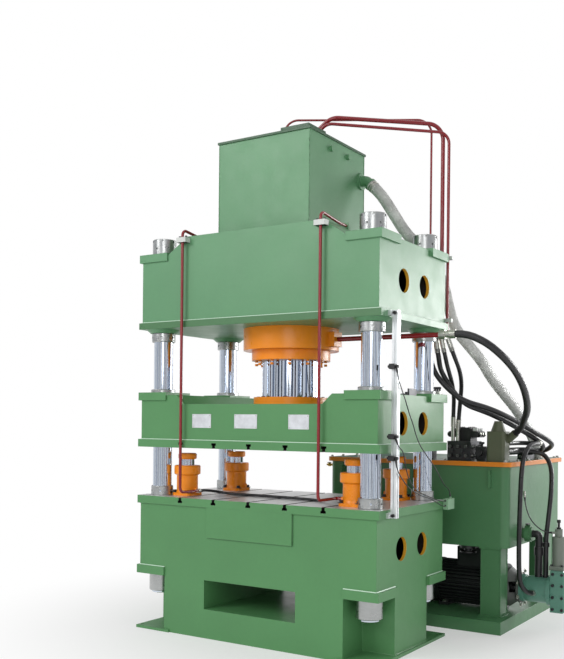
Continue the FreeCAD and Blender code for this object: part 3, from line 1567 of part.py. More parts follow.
def make_motor_rotor():
    """The shaft runs through the motor, with the fan at one end and half of the jaw coupling at the other."""
    x1 = motor_end_x
    x0 = x1 - motor_length
    z = motor_axis
    y = motor_y
    along = Vector(1, 0, 0)
    fan_x = x0 - fan_gap - fan_thickness
    shaft_length = x1 + coupling_length - fan_x + 2 * fan_gap
    shaft = rod(shaft_diameter, Vector(fan_x - fan_gap, y, z), along, shaft_length)
    hub = rod(shaft_diameter * fan_hub_share, Vector(fan_x, y, z), along, fan_thickness)
    parts = [shaft, hub]
    for i in range(fan_blade_count):
        blade = block(fan_x, fan_x + fan_thickness, y - fan_cover_wall / 2, y + fan_cover_wall / 2,
                      z + shaft_diameter / 2, z + fan_diameter / 2)
        blade.rotate(Vector(0, y, z), Vector(1, 0, 0), 360.0 / fan_blade_count * i)
        parts.append(blade)
    parts.append(rod(coupling_diameter, Vector(x1 + fan_gap, y, z), along, coupling_disc_length))
    jaw_x = x1 + fan_gap + coupling_disc_length
    for i in range(coupling_jaw_count):
        jaw = block(jaw_x - coupling_jaw_inset, x1 + fan_gap + coupling_length,
                    y - coupling_jaw_half_width, y + coupling_jaw_half_width,
                    z + shaft_diameter / 2 + coupling_jaw_inset,
                    z + coupling_diameter / 2 - coupling_jaw_inset)
        jaw.rotate(Vector(0, y, z), Vector(1, 0, 0), 360.0 / coupling_jaw_count * i)
        parts.append(jaw)
    return union(parts)


def make_bell_housing():
    x0 = motor_end_x
    x1 = pump_start
    w = bell_wall
    outer = turned_along_x([
        (0, x0),
        (bell_outer_diameter / 2, x0),
        (bell_outer_diameter / 2, x0 + 2 * w),
        (bell_small_diameter / 2, x1 - 2 * w),
        (bell_small_diameter / 2 + w, x1 - w),
        (bell_small_diameter / 2 + w, x1),
        (0, x1),
    ], motor_y, motor_axis)
    inner = turned_along_x([
        (0, x0),
        (bell_outer_diameter / 2 - 2 * w, x0),
        (bell_outer_diameter / 2 - 2 * w, x0 + 2 * w),
        (bell_small_diameter / 2 - w, x1 - 2 * w),
        (bell_small_diameter / 2 - w, x1 - w),
        (0, x1 - w),
    ], motor_y, motor_axis)
    window = bell_window_width
    tools = [inner, rod(shaft_diameter + w, Vector(x1 - 2 * w, motor_y, motor_axis), Vector(1, 0, 0), 3 * w)]
    for side in (-1, 1):
        middle = motor_y + side * bell_outer_diameter / 4
        tools.append(block(x0 + 3 * w, x0 + 3 * w + window / 2, middle - window / 2, middle + window / 2,
                           motor_axis - window / 4, motor_axis + window / 2))
    return subtract(outer, tools)


def make_pump():
    x0 = pump_start
    z = motor_axis
    r = pump_diameter / 2
    rf = pump_flange_diameter / 2
    t = pump_flange_thickness
    length = pump_length
    return turned_along_x([
        (0, x0),
        (rf * pump_spigot_share, x0),
        (rf * pump_spigot_share, x0 + t),
        (r * pump_shoulder_share, x0 + t),
        (r, x0 + 2 * t),
        (r, x0 + length - t),
        (rf, x0 + length - t),
        (rf, x0 + length),
        (0, x0 + length),
    ], motor_y, z)


def make_pump_head():
    x0 = pump_start + pump_length
    z = motor_axis
    w = pump_head_width / 2
    head = block(x0, x0 + pump_head_length, motor_y - w, motor_y + w, z - pump_head_below_axis,
                 z + pump_head_above_axis)
    edges = [e for e in head.Edges if abs(e.tangentAt(e.FirstParameter).x) < 0.5
             and e.CenterOfMass.x > x0 + pump_head_length / 2]
    return head.makeChamfer(pump_flange_thickness / 2, edges)


def make_relief_valve():
    z0 = motor_axis + pump_head_above_axis
    d = relief_body_diameter
    flange = centred_block(relief_flange_length, relief_flange_width, z0, z0 + pump_flange_thickness,
                           relief_x, motor_y)
    body = post(d, z0 + pump_flange_thickness, z0 + relief_body_height, relief_x, motor_y)
    top = z0 + relief_body_height
    cap = post(relief_cap_diameter, top, top + relief_cap_height, relief_x, motor_y)
    arm = rod(relief_arm_diameter, Vector(relief_x, motor_y, z0 + relief_arm_height), Vector(0, 1, 0),
              relief_arm_length)
    tip, out = route_end("level_cable", True)
    seat = Vector(relief_x - relief_gland_reach, motor_y - relief_gland_offset, z0 + relief_gland_height)
    gland = rod(level_gland_diameter, seat, out, d / 2)
    return union([flange, body, cap, arm, gland])


def make_unit_pipes():
    """The steel pipes of the unit: suction, pressure, and the two that lie on the lid."""
    pump = rod(pump_diameter, Vector(pump_start, motor_y, motor_axis), Vector(1, 0, 0), pump_length)
    low = motor_axis + pump_diameter * pressure_pipe_start_share
    valve_end = side_valve_end()
    suction = tube("suction", [
        (valve_end, side_valve_y, side_valve_height),
        (suction_pipe_x, side_valve_y, side_valve_height),
        (suction_pipe_x, side_valve_y, low),
    ], suction_pipe_diameter, suction_bend)
    joint = post(suction_joint_diameter, suction_joint_top - suction_joint_height, suction_joint_top,
                 suction_pipe_x, side_valve_y)
    suction = union([suction, joint]).cut(pump)
    x = pressure_pipe_x
    steps = [
        post(pressure_collar_diameter, low, low + pressure_collar_height, x, motor_y),
        post(pressure_pipe_diameter, low, pressure_pipe_top, x, motor_y),
        post(pressure_collar_diameter, pressure_pipe_top - pressure_collar_height, pressure_pipe_top,
             x, motor_y),
    ]
    pressure = union(steps).cut(pump)
    back = filter_y + filter_side / 2
    tip, out = route_end("pump_hose")
    turn_y = tip.y + lid_pipe_turn_run
    upper = tube("lid_pipe_upper", [
        (filter_x + lid_pipe_upper_offset, back, tip.z),
        (filter_x + lid_pipe_upper_offset, turn_y, tip.z),
        (tip.x, turn_y, tip.z),
        tuple(tip),
    ], lid_pipe_diameter, lid_pipe_bend)
    tip, out = route_end("valve_hose")
    bend_x = filter_x + lid_pipe_lower_offset
    lower = tube("lid_pipe_lower", [
        (bend_x, back, tip.z),
        (bend_x, tip.y - (tip.x - bend_x) * abs(out.y / out.x), tip.z),
        tuple(tip),
    ], lid_pipe_large_diameter, lid_pipe_bend)
    return [suction, pressure, upper, lower]


def side_valve_end():
    return tank_right + 2 * side_valve_stub + side_valve_thickness - side_valve_stub / 2


def make_side_valve():
    """Butterfly valve on the suction outlet in the right wall of the oil tank."""
    x = tank_right
    y = side_valve_y
    z = side_valve_height
    along = Vector(1, 0, 0)
    stub = rod(side_valve_stub_diameter, Vector(x, y, z), along, side_valve_stub)
    wafer = rod(side_valve_diameter, Vector(x + side_valve_stub, y, z), along, side_valve_thickness)
    cover = rod(side_valve_cover_diameter, Vector(x + side_valve_stub + side_valve_thickness, y, z), along,
                side_valve_stub / 2)
    mid = x + side_valve_stub + side_valve_thickness / 2
    neck = post(side_valve_neck_diameter, z, z + side_valve_neck_height, mid, y)
    body = union([stub, wafer, cover, neck])
    pivot = post(lever_pivot_diameter + 2 * lever_clearance, z + lever_pivot_hole_start,
                 z + side_valve_diameter, mid, y)
    return body.cut(pivot)


def make_side_lever():
    y = side_valve_y
    mid = tank_right + side_valve_stub + side_valve_thickness / 2
    z1 = side_valve_height + side_valve_neck_height
    pivot = post(lever_pivot_diameter, side_valve_height + lever_pivot_start, z1 + lever_thickness, mid, y)
    arm = block(mid - lever_width / 2, mid + lever_width / 2, y - lever_length, y + lever_width / 2,
                z1 + lever_gap, z1 + lever_thickness)
    return union([pivot, arm])


def make_manifold():
    z0 = unit_lid_top
    body = centred_block(manifold_length, manifold_width, z0, z0 + manifold_height, manifold_x, manifold_y)
    fittings = []
    for dx in manifold_port_offsets:
        start = Vector(manifold_x + dx, manifold_y - manifold_width / 2, z0 + manifold_height / 2)
        fittings.append(rod(port_boss_diameter, start, Vector(0, -1, 0), port_boss_reach))
    return [union([body] + fittings), make_return_block()]


def make_return_block():
    """The block on the lid where the two supply hoses end."""
    x0 = return_block_x
    y0 = return_block_front
    z0 = unit_lid_top
    body = block(x0, x0 + return_block_length, y0, y0 + return_block_width, z0, z0 + return_block_height)
    ends = [crimp(name, True, supply_hose_diameter + 2 * hose_nut_wall, hose_end_length)
            for name in ("supply_hose_upper", "supply_hose_lower")]
    return union([body] + ends)


def make_solenoid_valves():
    z0 = unit_lid_top + manifold_height
    valves = []
    for i in range(valve_count):
        y = manifold_y + valve_row_start + (i + 0.5) * valve_pitch
        body = centred_block(valve_body_length, valve_body_width, z0, z0 + valve_height, manifold_x, y)
        zc = z0 + valve_height / 2
        parts = [body]
        for side in (-1, 1):
            start = Vector(manifold_x + side * valve_body_length / 2, y, zc)
            parts.append(rod(valve_tube_diameter, start, Vector(side, 0, 0), valve_solenoid_length))
        valves.append(union(parts))
    return valves


def make_filter():
    z0 = unit_lid_top
    body = centred_block(filter_side, filter_side, z0, z0 + filter_block_height, filter_x, filter_y)
    upright = [e for e in body.Edges if abs(e.tangentAt(e.FirstParameter).z) > 0.5]
    body = body.makeChamfer(filter_side / 8, upright)
    dome = frustum(filter_cone_diameter, filter_cap_diameter, z0 + filter_block_height,
                   z0 + filter_block_height + filter_cone_height, filter_x, filter_y)
    port = crimp("return_hose", True, return_hose_diameter + 2 * return_crimp_wall, port_block_length)
    return union([body, dome, port])


def make_small_valves():
    valves = []
    z0 = unit_lid_top
    for x, y in small_valve_positions:
        body = centred_block(small_valve_side, small_valve_side, z0, z0 + small_valve_height, x, y)
        stem = post(knob_diameter / 2, z0 + small_valve_height, z0 + small_valve_height + knob_height, x, y)
        knob = post(knob_diameter, z0 + small_valve_height + knob_height / 2,
                    z0 + small_valve_height + knob_height, x, y)
        coil = rod(valve_solenoid_diameter, Vector(x, y - small_valve_side / 2, z0 + small_valve_coil_height),
                   Vector(0, -1, 0), small_valve_coil_length)
        valves.append(union([body, stem, knob, coil]))
    return make_solenoid_valves() + valves


makers = {
    "base_bed": make_base,
    "table_plate": make_table_plate,
    "columns": make_columns,
    "column_nuts": lambda: make_crown_nuts() + make_base_nuts(),
    "column_collars": lambda: make_crown_collars() + make_table_collars(),
    "crown_beam": make_crown,
    "head_tank": make_head_tank,
    "head_tank_lid": make_head_tank_lid,
    "cylinder_barrel": make_barrel,
    "cylinder_ring": make_barrel_ring,
    "gland_flange": make_gland,
    "ram": make_ram,
    "ram_flange": make_ram_flange,
    "slide_beam": make_slide,
    "guide_bushes": make_guide_bushes,
    "name_plates": make_name_plates,
    "slide_striker": make_striker,
    "buffer_bodies": make_buffer_bodies,
    "switch_rail": make_rail,
    "proximity_switches": make_switches,
    "front_pipes": make_front_pipes,
    "pipe_clamps": make_pipe_clamps,
    "rear_pipes": lambda: make_rear_pipes() + [make_short_pipe()],
    "hose_ends": make_hose_ends,
    "cylinder_pipe": make_cylinder_pipe,
    "cable_bracket": make_cable_bracket,
    "unit_skid": make_skid,
    "unit_legs": make_legs,
    "oil_tank": lambda: [make_oil_tank(), make_drain()],
    "unit_lid": make_unit_lid,
    "motor_body": make_motor_body,
    "fan_cover": make_fan_cover,
    "motor_rotor": make_motor_rotor,
    "bell_housing": make_bell_housing,
    "pump_body": make_pump,
    "pump_head": make_pump_head,
    "relief_valve": make_relief_valve,
    "unit_pipes": make_unit_pipes,
    "side_valve": make_side_valve,
    "side_lever": make_side_lever,
    "valve_manifold": make_manifold,
    "lid_valves": make_small_valves,
    "return_filter": make_filter,
}

for node, maker in makers.items():
    write(node, maker())

for tag, (bx, by) in zip(("fl", "fr", "rl", "rr"), corners(buffer_x, buffer_y)):
    write("buffer_rod_" + tag, make_buffer_rod(bx, by))

for node in routes:
    write(node, make_hose(node))
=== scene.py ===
import math

import bmesh
import bpy
from mathutils import Matrix, Vector


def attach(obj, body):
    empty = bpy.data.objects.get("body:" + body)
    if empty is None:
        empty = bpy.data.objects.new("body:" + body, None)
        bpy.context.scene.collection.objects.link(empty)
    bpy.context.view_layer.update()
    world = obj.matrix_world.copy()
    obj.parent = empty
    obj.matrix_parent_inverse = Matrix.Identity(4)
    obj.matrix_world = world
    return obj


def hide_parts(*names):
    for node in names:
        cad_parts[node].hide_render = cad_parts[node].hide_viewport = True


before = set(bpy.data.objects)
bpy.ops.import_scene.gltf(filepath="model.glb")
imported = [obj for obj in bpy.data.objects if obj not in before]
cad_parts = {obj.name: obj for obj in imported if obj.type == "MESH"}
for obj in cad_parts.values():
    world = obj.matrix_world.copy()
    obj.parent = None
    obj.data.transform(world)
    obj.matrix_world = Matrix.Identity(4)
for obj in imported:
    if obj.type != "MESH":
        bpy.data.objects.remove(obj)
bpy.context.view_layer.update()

bl_info = {
    "name": "Hydraulic Press Finish",
    "version": (1, 0, 0),
    "blender": (4, 5, 0),
    "location": "View3D > Sidebar > Press",
    "description": "Paint, bright steel, hoses and fittings for a column press and its power unit",
    "category": "Object",
}

# Metres, in the frame of the press: +X to the operator's right, -Y towards the operator, +Z up.
# Each hose or cable: its diameter and the points of its route.
ROUTES = {
    "return_hose": (0.05, (
        (1.288, 0, 2.14), (1.363, 0, 2.14), (1.485, 0.039, 2.079), (1.552, 0.12, 2.006),
        (1.582, 0.227, 1.944), (1.592, 0.338, 1.886), (1.594, 0.445, 1.819), (1.583, 0.551, 1.751),
        (1.561, 0.658, 1.688), (1.525, 0.764, 1.63), (1.469, 0.861, 1.573), (1.414, 0.986, 1.52),
        (1.358, 1.012, 1.478),
    )),
    "prefill_hose": (0.084, (
        (0.47, 0.345, 3.31), (0.547, 0.345, 3.242), (0.641, 0.374, 3.083), (0.715, 0.435, 2.937),
        (0.78, 0.58, 2.848), (0.831, 0.7, 2.734), (0.885, 0.753, 2.585), (0.917, 0.768, 2.416),
        (0.957, 0.809, 2.253), (1.03, 0.911, 2.135), (1.084, 1.032, 2.026), (1.111, 1.156, 1.91),
        (1.145, 1.292, 1.811), (1.173, 1.437, 1.724), (1.197, 1.58, 1.633), (1.22, 1.711, 1.525),
        (1.255, 1.835, 1.391), (1.255, 1.86, 1.29),
    )),
    "supply_hose_upper": (0.038, (
        (0.846, 0.587, 2.095), (0.846, 0.593, 2.039), (0.872, 0.601, 1.938), (0.918, 0.628, 1.86),
        (0.982, 0.645, 1.791), (1.044, 0.69, 1.734), (1.095, 0.763, 1.702), (1.14, 0.845, 1.684),
        (1.188, 0.924, 1.661), (1.234, 1.001, 1.633), (1.272, 1.083, 1.603), (1.306, 1.166, 1.572),
        (1.34, 1.248, 1.54), (1.371, 1.331, 1.507), (1.395, 1.417, 1.474), (1.432, 1.496, 1.439),
        (1.469, 1.576, 1.399), (1.438, 1.663, 1.365), (1.358, 1.719, 1.328), (1.3, 1.722, 1.325),
    )),
    "supply_hose_lower": (0.038, (
        (0.905, 0.589, 2.096), (0.913, 0.595, 2.042), (0.902, 0.649, 1.956), (0.927, 0.692, 1.877),
        (0.969, 0.72, 1.801), (1.013, 0.76, 1.73), (1.06, 0.822, 1.68), (1.109, 0.897, 1.655),
        (1.154, 0.973, 1.63), (1.196, 1.05, 1.601), (1.238, 1.125, 1.569), (1.275, 1.203, 1.536),
        (1.301, 1.286, 1.507), (1.332, 1.367, 1.475), (1.385, 1.428, 1.429), (1.422, 1.501, 1.382),
        (1.391, 1.573, 1.341), (1.33, 1.592, 1.331),
    )),
    "manifold_hose_left": (0.032, (
        (0.956, 0.585, 2.097), (0.965, 0.589, 2.051), (0.964, 0.635, 1.976), (0.961, 0.688, 1.917),
        (0.953, 0.748, 1.866), (0.94, 0.809, 1.817), (0.923, 0.867, 1.766), (0.903, 0.921, 1.711),
        (0.879, 0.974, 1.646), (0.874, 0.985, 1.6),
    )),
    "manifold_hose_right": (0.032, (
        (1.014, 0.587, 2.101), (1.03, 0.592, 2.054), (1.046, 0.638, 1.978), (1.036, 0.705, 1.93),
        (1.022, 0.767, 1.877), (1.002, 0.824, 1.82), (0.977, 0.876, 1.762), (0.952, 0.925, 1.7),
        (0.927, 0.971, 1.626), (0.918, 0.985, 1.58),
    )),
    "pump_hose": (0.036, (
        (1.44, 1.345, 1.398), (1.44, 1.281, 1.398), (1.416, 1.167, 1.389), (1.399, 1.093, 1.31),
        (1.394, 1.061, 1.206), (1.391, 1.052, 1.099), (1.388, 1.05, 0.992), (1.386, 1.047, 0.884),
        (1.385, 1.043, 0.777), (1.385, 1.039, 0.67), (1.387, 1.034, 0.563), (1.391, 1.028, 0.455),
        (1.398, 1.035, 0.346), (1.423, 1.119, 0.269), (1.44, 1.183, 0.262),
    )),
    "valve_hose": (0.036, (
        (1.3, 1.44, 1.335), (1.341, 1.471, 1.335), (1.423, 1.506, 1.314), (1.478, 1.484, 1.25),
        (1.506, 1.445, 1.179), (1.518, 1.407, 1.104), (1.525, 1.374, 1.026), (1.527, 1.344, 0.947),
        (1.526, 1.32, 0.865), (1.522, 1.304, 0.782), (1.512, 1.3, 0.69), (1.512, 1.3, 0.64),
    )),
    "switch_cable_top": (0.007, (
        (1.076, -0.443, 1.88), (1.076, -0.427, 1.827), (1.074, -0.357, 1.75), (1.068, -0.29, 1.684),
        (1.065, -0.233, 1.61), (1.061, -0.165, 1.544), (1.058, -0.11, 1.468), (1.056, -0.043, 1.401),
        (1.053, 0.038, 1.353), (1.051, 0.119, 1.305), (1.049, 0.2, 1.259), (1.046, 0.281, 1.21),
        (1.046, 0.352, 1.149), (1.042, 0.431, 1.098), (1.03, 0.539, 1.07), (1.03, 0.56, 1.016),
    )),
    "switch_cable_middle": (0.007, (
        (1.076, -0.443, 1.434), (1.076, -0.415, 1.397), (1.072, -0.329, 1.364), (1.064, -0.289, 1.295),
        (1.06, -0.25, 1.225), (1.056, -0.195, 1.166), (1.052, -0.128, 1.121), (1.048, -0.054, 1.091),
        (1.045, 0.023, 1.07), (1.043, 0.101, 1.052), (1.042, 0.179, 1.033), (1.041, 0.257, 1.015),
        (1.039, 0.336, 1), (1.035, 0.423, 0.99), (1.03, 0.47, 0.99),
    )),
    "switch_cable_low": (0.007, (
        (1.076, -0.443, 1.296), (1.077, -0.432, 1.247), (1.076, -0.35, 1.186), (1.067, -0.268, 1.143),
        (1.057, -0.185, 1.113), (1.053, -0.102, 1.086), (1.05, -0.017, 1.062), (1.046, 0.069, 1.045),
        (1.043, 0.156, 1.029), (1.041, 0.241, 1.007), (1.039, 0.325, 0.979), (1.035, 0.418, 0.953),
        (1.03, 0.47, 0.953),
    )),
    "table_hose": (0.02, (
        (-0.583, -0.33, 1.03), (-0.583, -0.237, 1.03), (-0.485, -0.117, 1), (-0.333, -0.115, 1),
        (-0.186, -0.125, 1.001), (-0.04, -0.137, 1.001), (0.107, -0.15, 1.001), (0.253, -0.167, 1.001),
        (0.398, -0.191, 0.998), (0.543, -0.249, 1.034), (0.624, -0.281, 1.034),
    )),
    "level_cable": (0.009, (
        (1.349, 1.278, 0.98), (1.354, 1.275, 0.93), (1.388, 1.252, 0.841), (1.442, 1.238, 0.774),
        (1.513, 1.259, 0.722), (1.564, 1.272, 0.722),
    )),
}

# Each hose or cable: real length, stiffness, how it lies, finish.
HOSE_FACTS = {
    "return_hose": (1.44, "stiff", "hanging", "hose"),
    "prefill_hose": (2.80, "medium", "hanging", "clear"),
    "supply_hose_upper": (1.74, "stiff", "hanging", "hose"),
    "supply_hose_lower": (1.50, "stiff", "hanging", "hose"),
    "manifold_hose_left": (0.66, "stiff", "hanging", "hose"),
    "manifold_hose_right": (0.69, "stiff", "hanging", "hose"),
    "pump_hose": (1.43, "stiff", "hanging", "hose"),
    "valve_hose": (0.88, "stiff", "hanging", "hose"),
    "table_hose": (1.37, "medium", "loose", "hose"),
    "switch_cable_top": (1.36, "limp", "hanging", "cable"),
    "switch_cable_middle": (1.07, "limp", "hanging", "cable"),
    "switch_cable_low": (1.01, "limp", "hanging", "cable"),
    "level_cable": (0.38, "limp", "hanging", "cable"),
}

# Where things are on the press, from its own middle.
BUFFER_X = 0.712
BUFFER_Y = 0.316
SIDE_HOLE_Y = 0.165
SIDE_HOLE_RADIUS = 0.0815
BASE_HOLE_Z = 0.711
CROWN_HOLE_Z = 2.493
SLIDE_HOLE_Z = 1.544
SLOT_X = (-0.6, -0.3, 0.0, 0.3, 0.6)
SLOT_HALF_WIDTH = 0.0215
BEAM_INSIDE_X = 0.9645
BEAM_INSIDE_Y = 0.479
NOTCH_X = 0.747
NOTCH_Y = 0.254
NOTCH_TOP = 0.411
TUNNEL_X = 0.384
TUNNEL_Z = (0.205, 0.413)
BASE_ROOM_Z = (0.055, 0.9)
CROWN_ROOM_Z = (2.271, 2.72)
SLIDE_ROOM_Z = (1.407, 1.63)
FLANGE_Y = 0.534
FLANGE_Z = (2.226, 2.27)
SLIDE_SLOT_Z = (1.3512, 1.3905)
SLIDE_BOTTOM = 1.352
TABLE_SLOT_Z = (0.95, 0.9897)
TABLE_TOP = 0.989
BEAD_X = 0.987
BEAD_Y = 0.527
FOOT_TOP = 0.021

# Where things are on the power unit.
PUMP_Y = 1.3
PUMP_Z = 0.275
MOTOR_X = 0.935
RELIEF_X = 1.608
LID_TOP = 1.2612
DRAIN = (1.0, 1.0)
VALVES_X = 0.930
VALVES_Y = (1.0765, 1.1235, 1.1715)
UP, FRONT, BACK, RIGHT, LEFT, DOWN = (0, 0, 1), (0, -1, 0), (0, 1, 0), (1, 0, 0), (-1, 0, 0), (0, 0, -1)


def linear(red, green, blue):
    """A colour as it reads on screen, from 0 to 255, in the scene's own linear values."""
    out = []
    for value in (red, green, blue):
        c = value / 255
        out.append(c / 12.92 if c <= 0.04045 else ((c + 0.055) / 1.055) ** 2.4)
    return tuple(out)


# ------------------------------------------------------------------ settings
def colour_setting(name, description, *rgb):
    """A colour in the panel."""
    return bpy.props.FloatVectorProperty(
        name=name, description=description, subtype="COLOR", size=3, min=0, max=1, default=linear(*rgb))


def length_setting(name, description, low, high, start):
    """A length in the panel, in metres."""
    return bpy.props.FloatProperty(
        name=name, description=description, unit="LENGTH", min=low, max=high, default=start)


def number_setting(name, description, low, high, start):
    """A plain number in the panel."""
    return bpy.props.FloatProperty(name=name, description=description, min=low, max=high, default=start)


class PressPaint(bpy.types.PropertyGroup):
    """Colours of the press and its power unit."""

    frame_green: colour_setting("Frame green", "Paint of the base, the table and the slide", 88, 143, 92)
    crown_green: colour_setting("Crown green", "Paint of the crown and the head tank", 98, 149, 108)
    unit_green: colour_setting("Unit green", "Paint of the oil tank, its legs and its skid", 80, 130, 88)
    lid_green: colour_setting("Lid green", "Paint of the lids of both tanks", 50, 88, 58)
    cylinder_orange: colour_setting("Cylinder orange", "Paint of the cylinder and the buffers", 250, 146, 18)
    rim_orange: colour_setting("Rim orange", "Paint of the oil tank's rim", 236, 138, 36)
    pipe_red: colour_setting("Pipe red", "Gloss paint of the rigid pipes", 138, 14, 26)
    pump_teal: colour_setting("Pump teal", "Paint of the pump and its head", 96, 148, 130)
    hose_black: colour_setting("Hose black", "Rubber of the hoses", 30, 30, 32)


class PressTrim(bpy.types.PropertyGroup):
    """Sizes of the small parts that are fitted on the press."""

    weld_radius: length_setting("Weld radius", "Radius of the weld beads", 0.002, 0.012, 0.006)
    rivet_width: length_setting("Rivet width", "Diameter of the rivets of the plates", 0.003, 0.012, 0.007)
    hose_sides: bpy.props.IntProperty(
        name="Hose sides", description="Rings of faces round a hose, in quarters", min=2, max=12, default=6)


class PressStudio(bpy.types.PropertyGroup):
    """The studio: camera, lamps and floor."""

    camera_lens: number_setting("Lens", "Focal length of the camera in millimetres", 20, 200, 49.6)
    key_power: number_setting("Key power", "Power of the lamp at the front left, in watts", 0, 5000, 440)
    fill_power: number_setting("Fill power", "Power of the soft lamp at the right, in watts", 0, 5000, 165)
    glow_power: number_setting(
        "Horizon glow", "Power of the low lamp that shines off the right-hand sides, in watts", 0, 5000, 580)
    sky_level: number_setting("Sky level", "Level of the even light from all round", 0, 2, 0.45)
    floor_tone: number_setting("Floor tone", "How pale the floor is, where 1 is white", 0.1, 1, 0.97)


def paint_kit():
    return bpy.context.scene.press_paint


def trim_kit():
    return bpy.context.scene.press_trim


def studio_kit():
    return bpy.context.scene.press_studio


# ------------------------------------------------------------------ materials
# How far grain is stretched along each axis.
EVEN = (1, 1, 1)
UPRIGHT_GRAIN = (1, 1, 0.03)
TURNED_GRAIN = (0.08, 0.08, 1)
SLOT_GRAIN = (1, 0.05, 1)
MILLED_GRAIN = (1, 0.06, 1)
GROUND_GRAIN = (0.05, 0.05, 1)


def blank_tree(owner, output):
    """The emptied node tree of a material or world, with its new output."""
    owner.use_nodes = True
    tree = owner.node_tree
    tree.nodes.clear()
    return tree, tree.nodes.new("ShaderNodeOutput" + output)


def set_inputs(tree, node, inputs):
    """Sets inputs of a node, each by a socket to link or a plain value."""
    for name, value in inputs.items():
        if isinstance(value, bpy.types.NodeSocket):
            tree.links.new(value, node.inputs[name])
        else:
            node.inputs[name].default_value = value


def add_node(tree, kind, inputs, **settings):
    """A shader node of that kind, with its settings and inputs."""
    node = tree.nodes.new("ShaderNode" + kind)
    for name, value in settings.items():
        setattr(node, name, value)
    set_inputs(tree, node, inputs)
    return node


def start_material(name):
    """A new material with one surface shader; gives the material, its node tree and the shader."""
    material = bpy.data.materials.new(name)
    tree, out = blank_tree(material, "Material")
    shader = tree.nodes.new("ShaderNodeBsdfPrincipled")
    tree.links.new(shader.outputs[0], out.inputs[0])
    return material, tree, shader


def place_on(tree, stretch=EVEN):
    """Coordinates in metres on the piece, stretched along the axes for grain."""
    source = add_node(tree, "TexCoord", {})
    return add_node(tree, "Mapping", {"Scale": stretch, "Vector": source.outputs["Object"]}).outputs["Vector"]


def cloud(tree, place, scale, low, high, detail=3.0):
    """Noise of that scale, spread between the two values."""
    noise = add_node(tree, "TexNoise", {"Scale": scale, "Detail": detail, "Vector": place})
    spread = add_node(tree, "MapRange", {
        "From Min": 0.3, "From Max": 0.7, "To Min": low, "To Max": high, "Value": noise.outputs["Fac"]})
    return spread.outputs["Result"]


def combine(tree, operation, first, second):
    """One value from two, each a socket or a number."""
    return add_node(tree, "Math", {0: first, 1: second}, operation=operation).outputs[0]


def shade_colour(tree, shader, colour, value):
    """The colour made lighter or darker over the surface, where the value is 1 as written."""
    tint = add_node(tree, "HueSaturation", {"Color": (*colour, 1), "Value": value})
    set_inputs(tree, shader, {"Base Color": tint.outputs["Color"]})


def relief(tree, shader, height, distance, strength=1.0, edge=0.0):
    """Fine relief from a height, on edges that are softly rounded."""
    bump = add_node(tree, "Bump", {"Strength": strength, "Distance": distance, "Height": height})
    if edge:
        rounding = add_node(tree, "Bevel", {"Radius": edge}, samples=4)
        set_inputs(tree, bump, {"Normal": rounding.outputs["Normal"]})
    set_inputs(tree, shader, {"Normal": bump.outputs["Normal"]})


def seen_rays(tree):
    """1 where the camera looks straight at it, in a mirror or through glass, and 0 for lighting."""
    ray = add_node(tree, "LightPath", {})
    indirect = combine(tree, "ADD", ray.outputs["Is Glossy Ray"], ray.outputs["Is Transmission Ray"])
    return combine(tree, "ADD", ray.outputs["Is Camera Ray"], indirect)


def mix_shaders(tree, share, first, second, out):
    """Two shaders mixed by a share, into the output."""
    mix = add_node(tree, "MixShader", {0: share})
    tree.links.new(first.outputs[0], mix.inputs[1])
    tree.links.new(second.outputs[0], mix.inputs[2])
    tree.links.new(mix.outputs[0], out.inputs[0])


def paint(name, colour, rough=0.38, mottle=0.045, edge=0.003, coat=0.04):
    """Sprayed paint: a slightly cloudy tone, the plate's waviness and an orange-peel skin."""
    material, tree, shader = start_material(name)
    place = place_on(tree)
    tone = combine(tree, "MULTIPLY", cloud(tree, place, 1.9, 1 - mottle, 1 + mottle),
                   cloud(tree, place, 38, 0.985, 1.015))
    shade_colour(tree, shader, colour, tone)
    skin = combine(tree, "ADD", cloud(tree, place, 5, 0, 1), cloud(tree, place, 420, 0, 0.10, 1))
    relief(tree, shader, skin, 0.0016, 0.5, edge)
    set_inputs(tree, shader, {
        "Roughness": cloud(tree, place, 7, rough - 0.05, rough + 0.07), "Specular IOR Level": 0.4,
        "Coat Weight": coat, "Coat Roughness": 0.25})
    return material


def bare_metal(name, colour, rough=0.3, stretch=EVEN, grain=260, mottle=0.12, edge=0.0015, metallic=1.0):
    """Bare metal with the fine grain that turning, drawing or milling leaves."""
    material, tree, shader = start_material(name)
    grained = place_on(tree, stretch)
    place = place_on(tree)
    lines = cloud(tree, grained, grain, 0, 1, 2)
    tone = combine(tree, "MULTIPLY", cloud(tree, place, 9, 1 - mottle, 1 + mottle),
                   cloud(tree, grained, grain * 0.6, 0.95, 1.05, 2))
    shade_colour(tree, shader, colour, tone)
    relief(tree, shader, lines, 0.00025, 0.35, edge)
    set_inputs(tree, shader, {
        "Roughness": cloud(tree, place, 21, rough - 0.06, rough + 0.08), "Metallic": metallic})
    return material


def chrome(name, colour):
    """Hard chrome on ground bar: bright, with a faint grind round the bar."""
    material, tree, shader = start_material(name)
    round_bar = place_on(tree, GROUND_GRAIN)
    place = place_on(tree)
    shade_colour(tree, shader, colour, cloud(tree, round_bar, 220, 0.97, 1.02, 2))
    relief(tree, shader, cloud(tree, round_bar, 300, 0, 1, 1), 0.00003, 0.1)
    set_inputs(tree, shader, {"Roughness": cloud(tree, place, 4, 0.05, 0.11), "Metallic": 1})
    return material


def rubber(name, colour, rough=0.34):
    """Hose cover: smooth black rubber with a fine wrapped texture and a little dust."""
    material, tree, shader = start_material(name)
    place = place_on(tree)
    shade_colour(tree, shader, colour, cloud(tree, place, 16, 0.7, 1.5))
    set_inputs(tree, shader, {"Roughness": cloud(tree, place, 30, rough - 0.08, rough + 0.12)})
    relief(tree, shader, cloud(tree, place, 700, 0, 1, 2), 0.0004, 0.4)
    return material


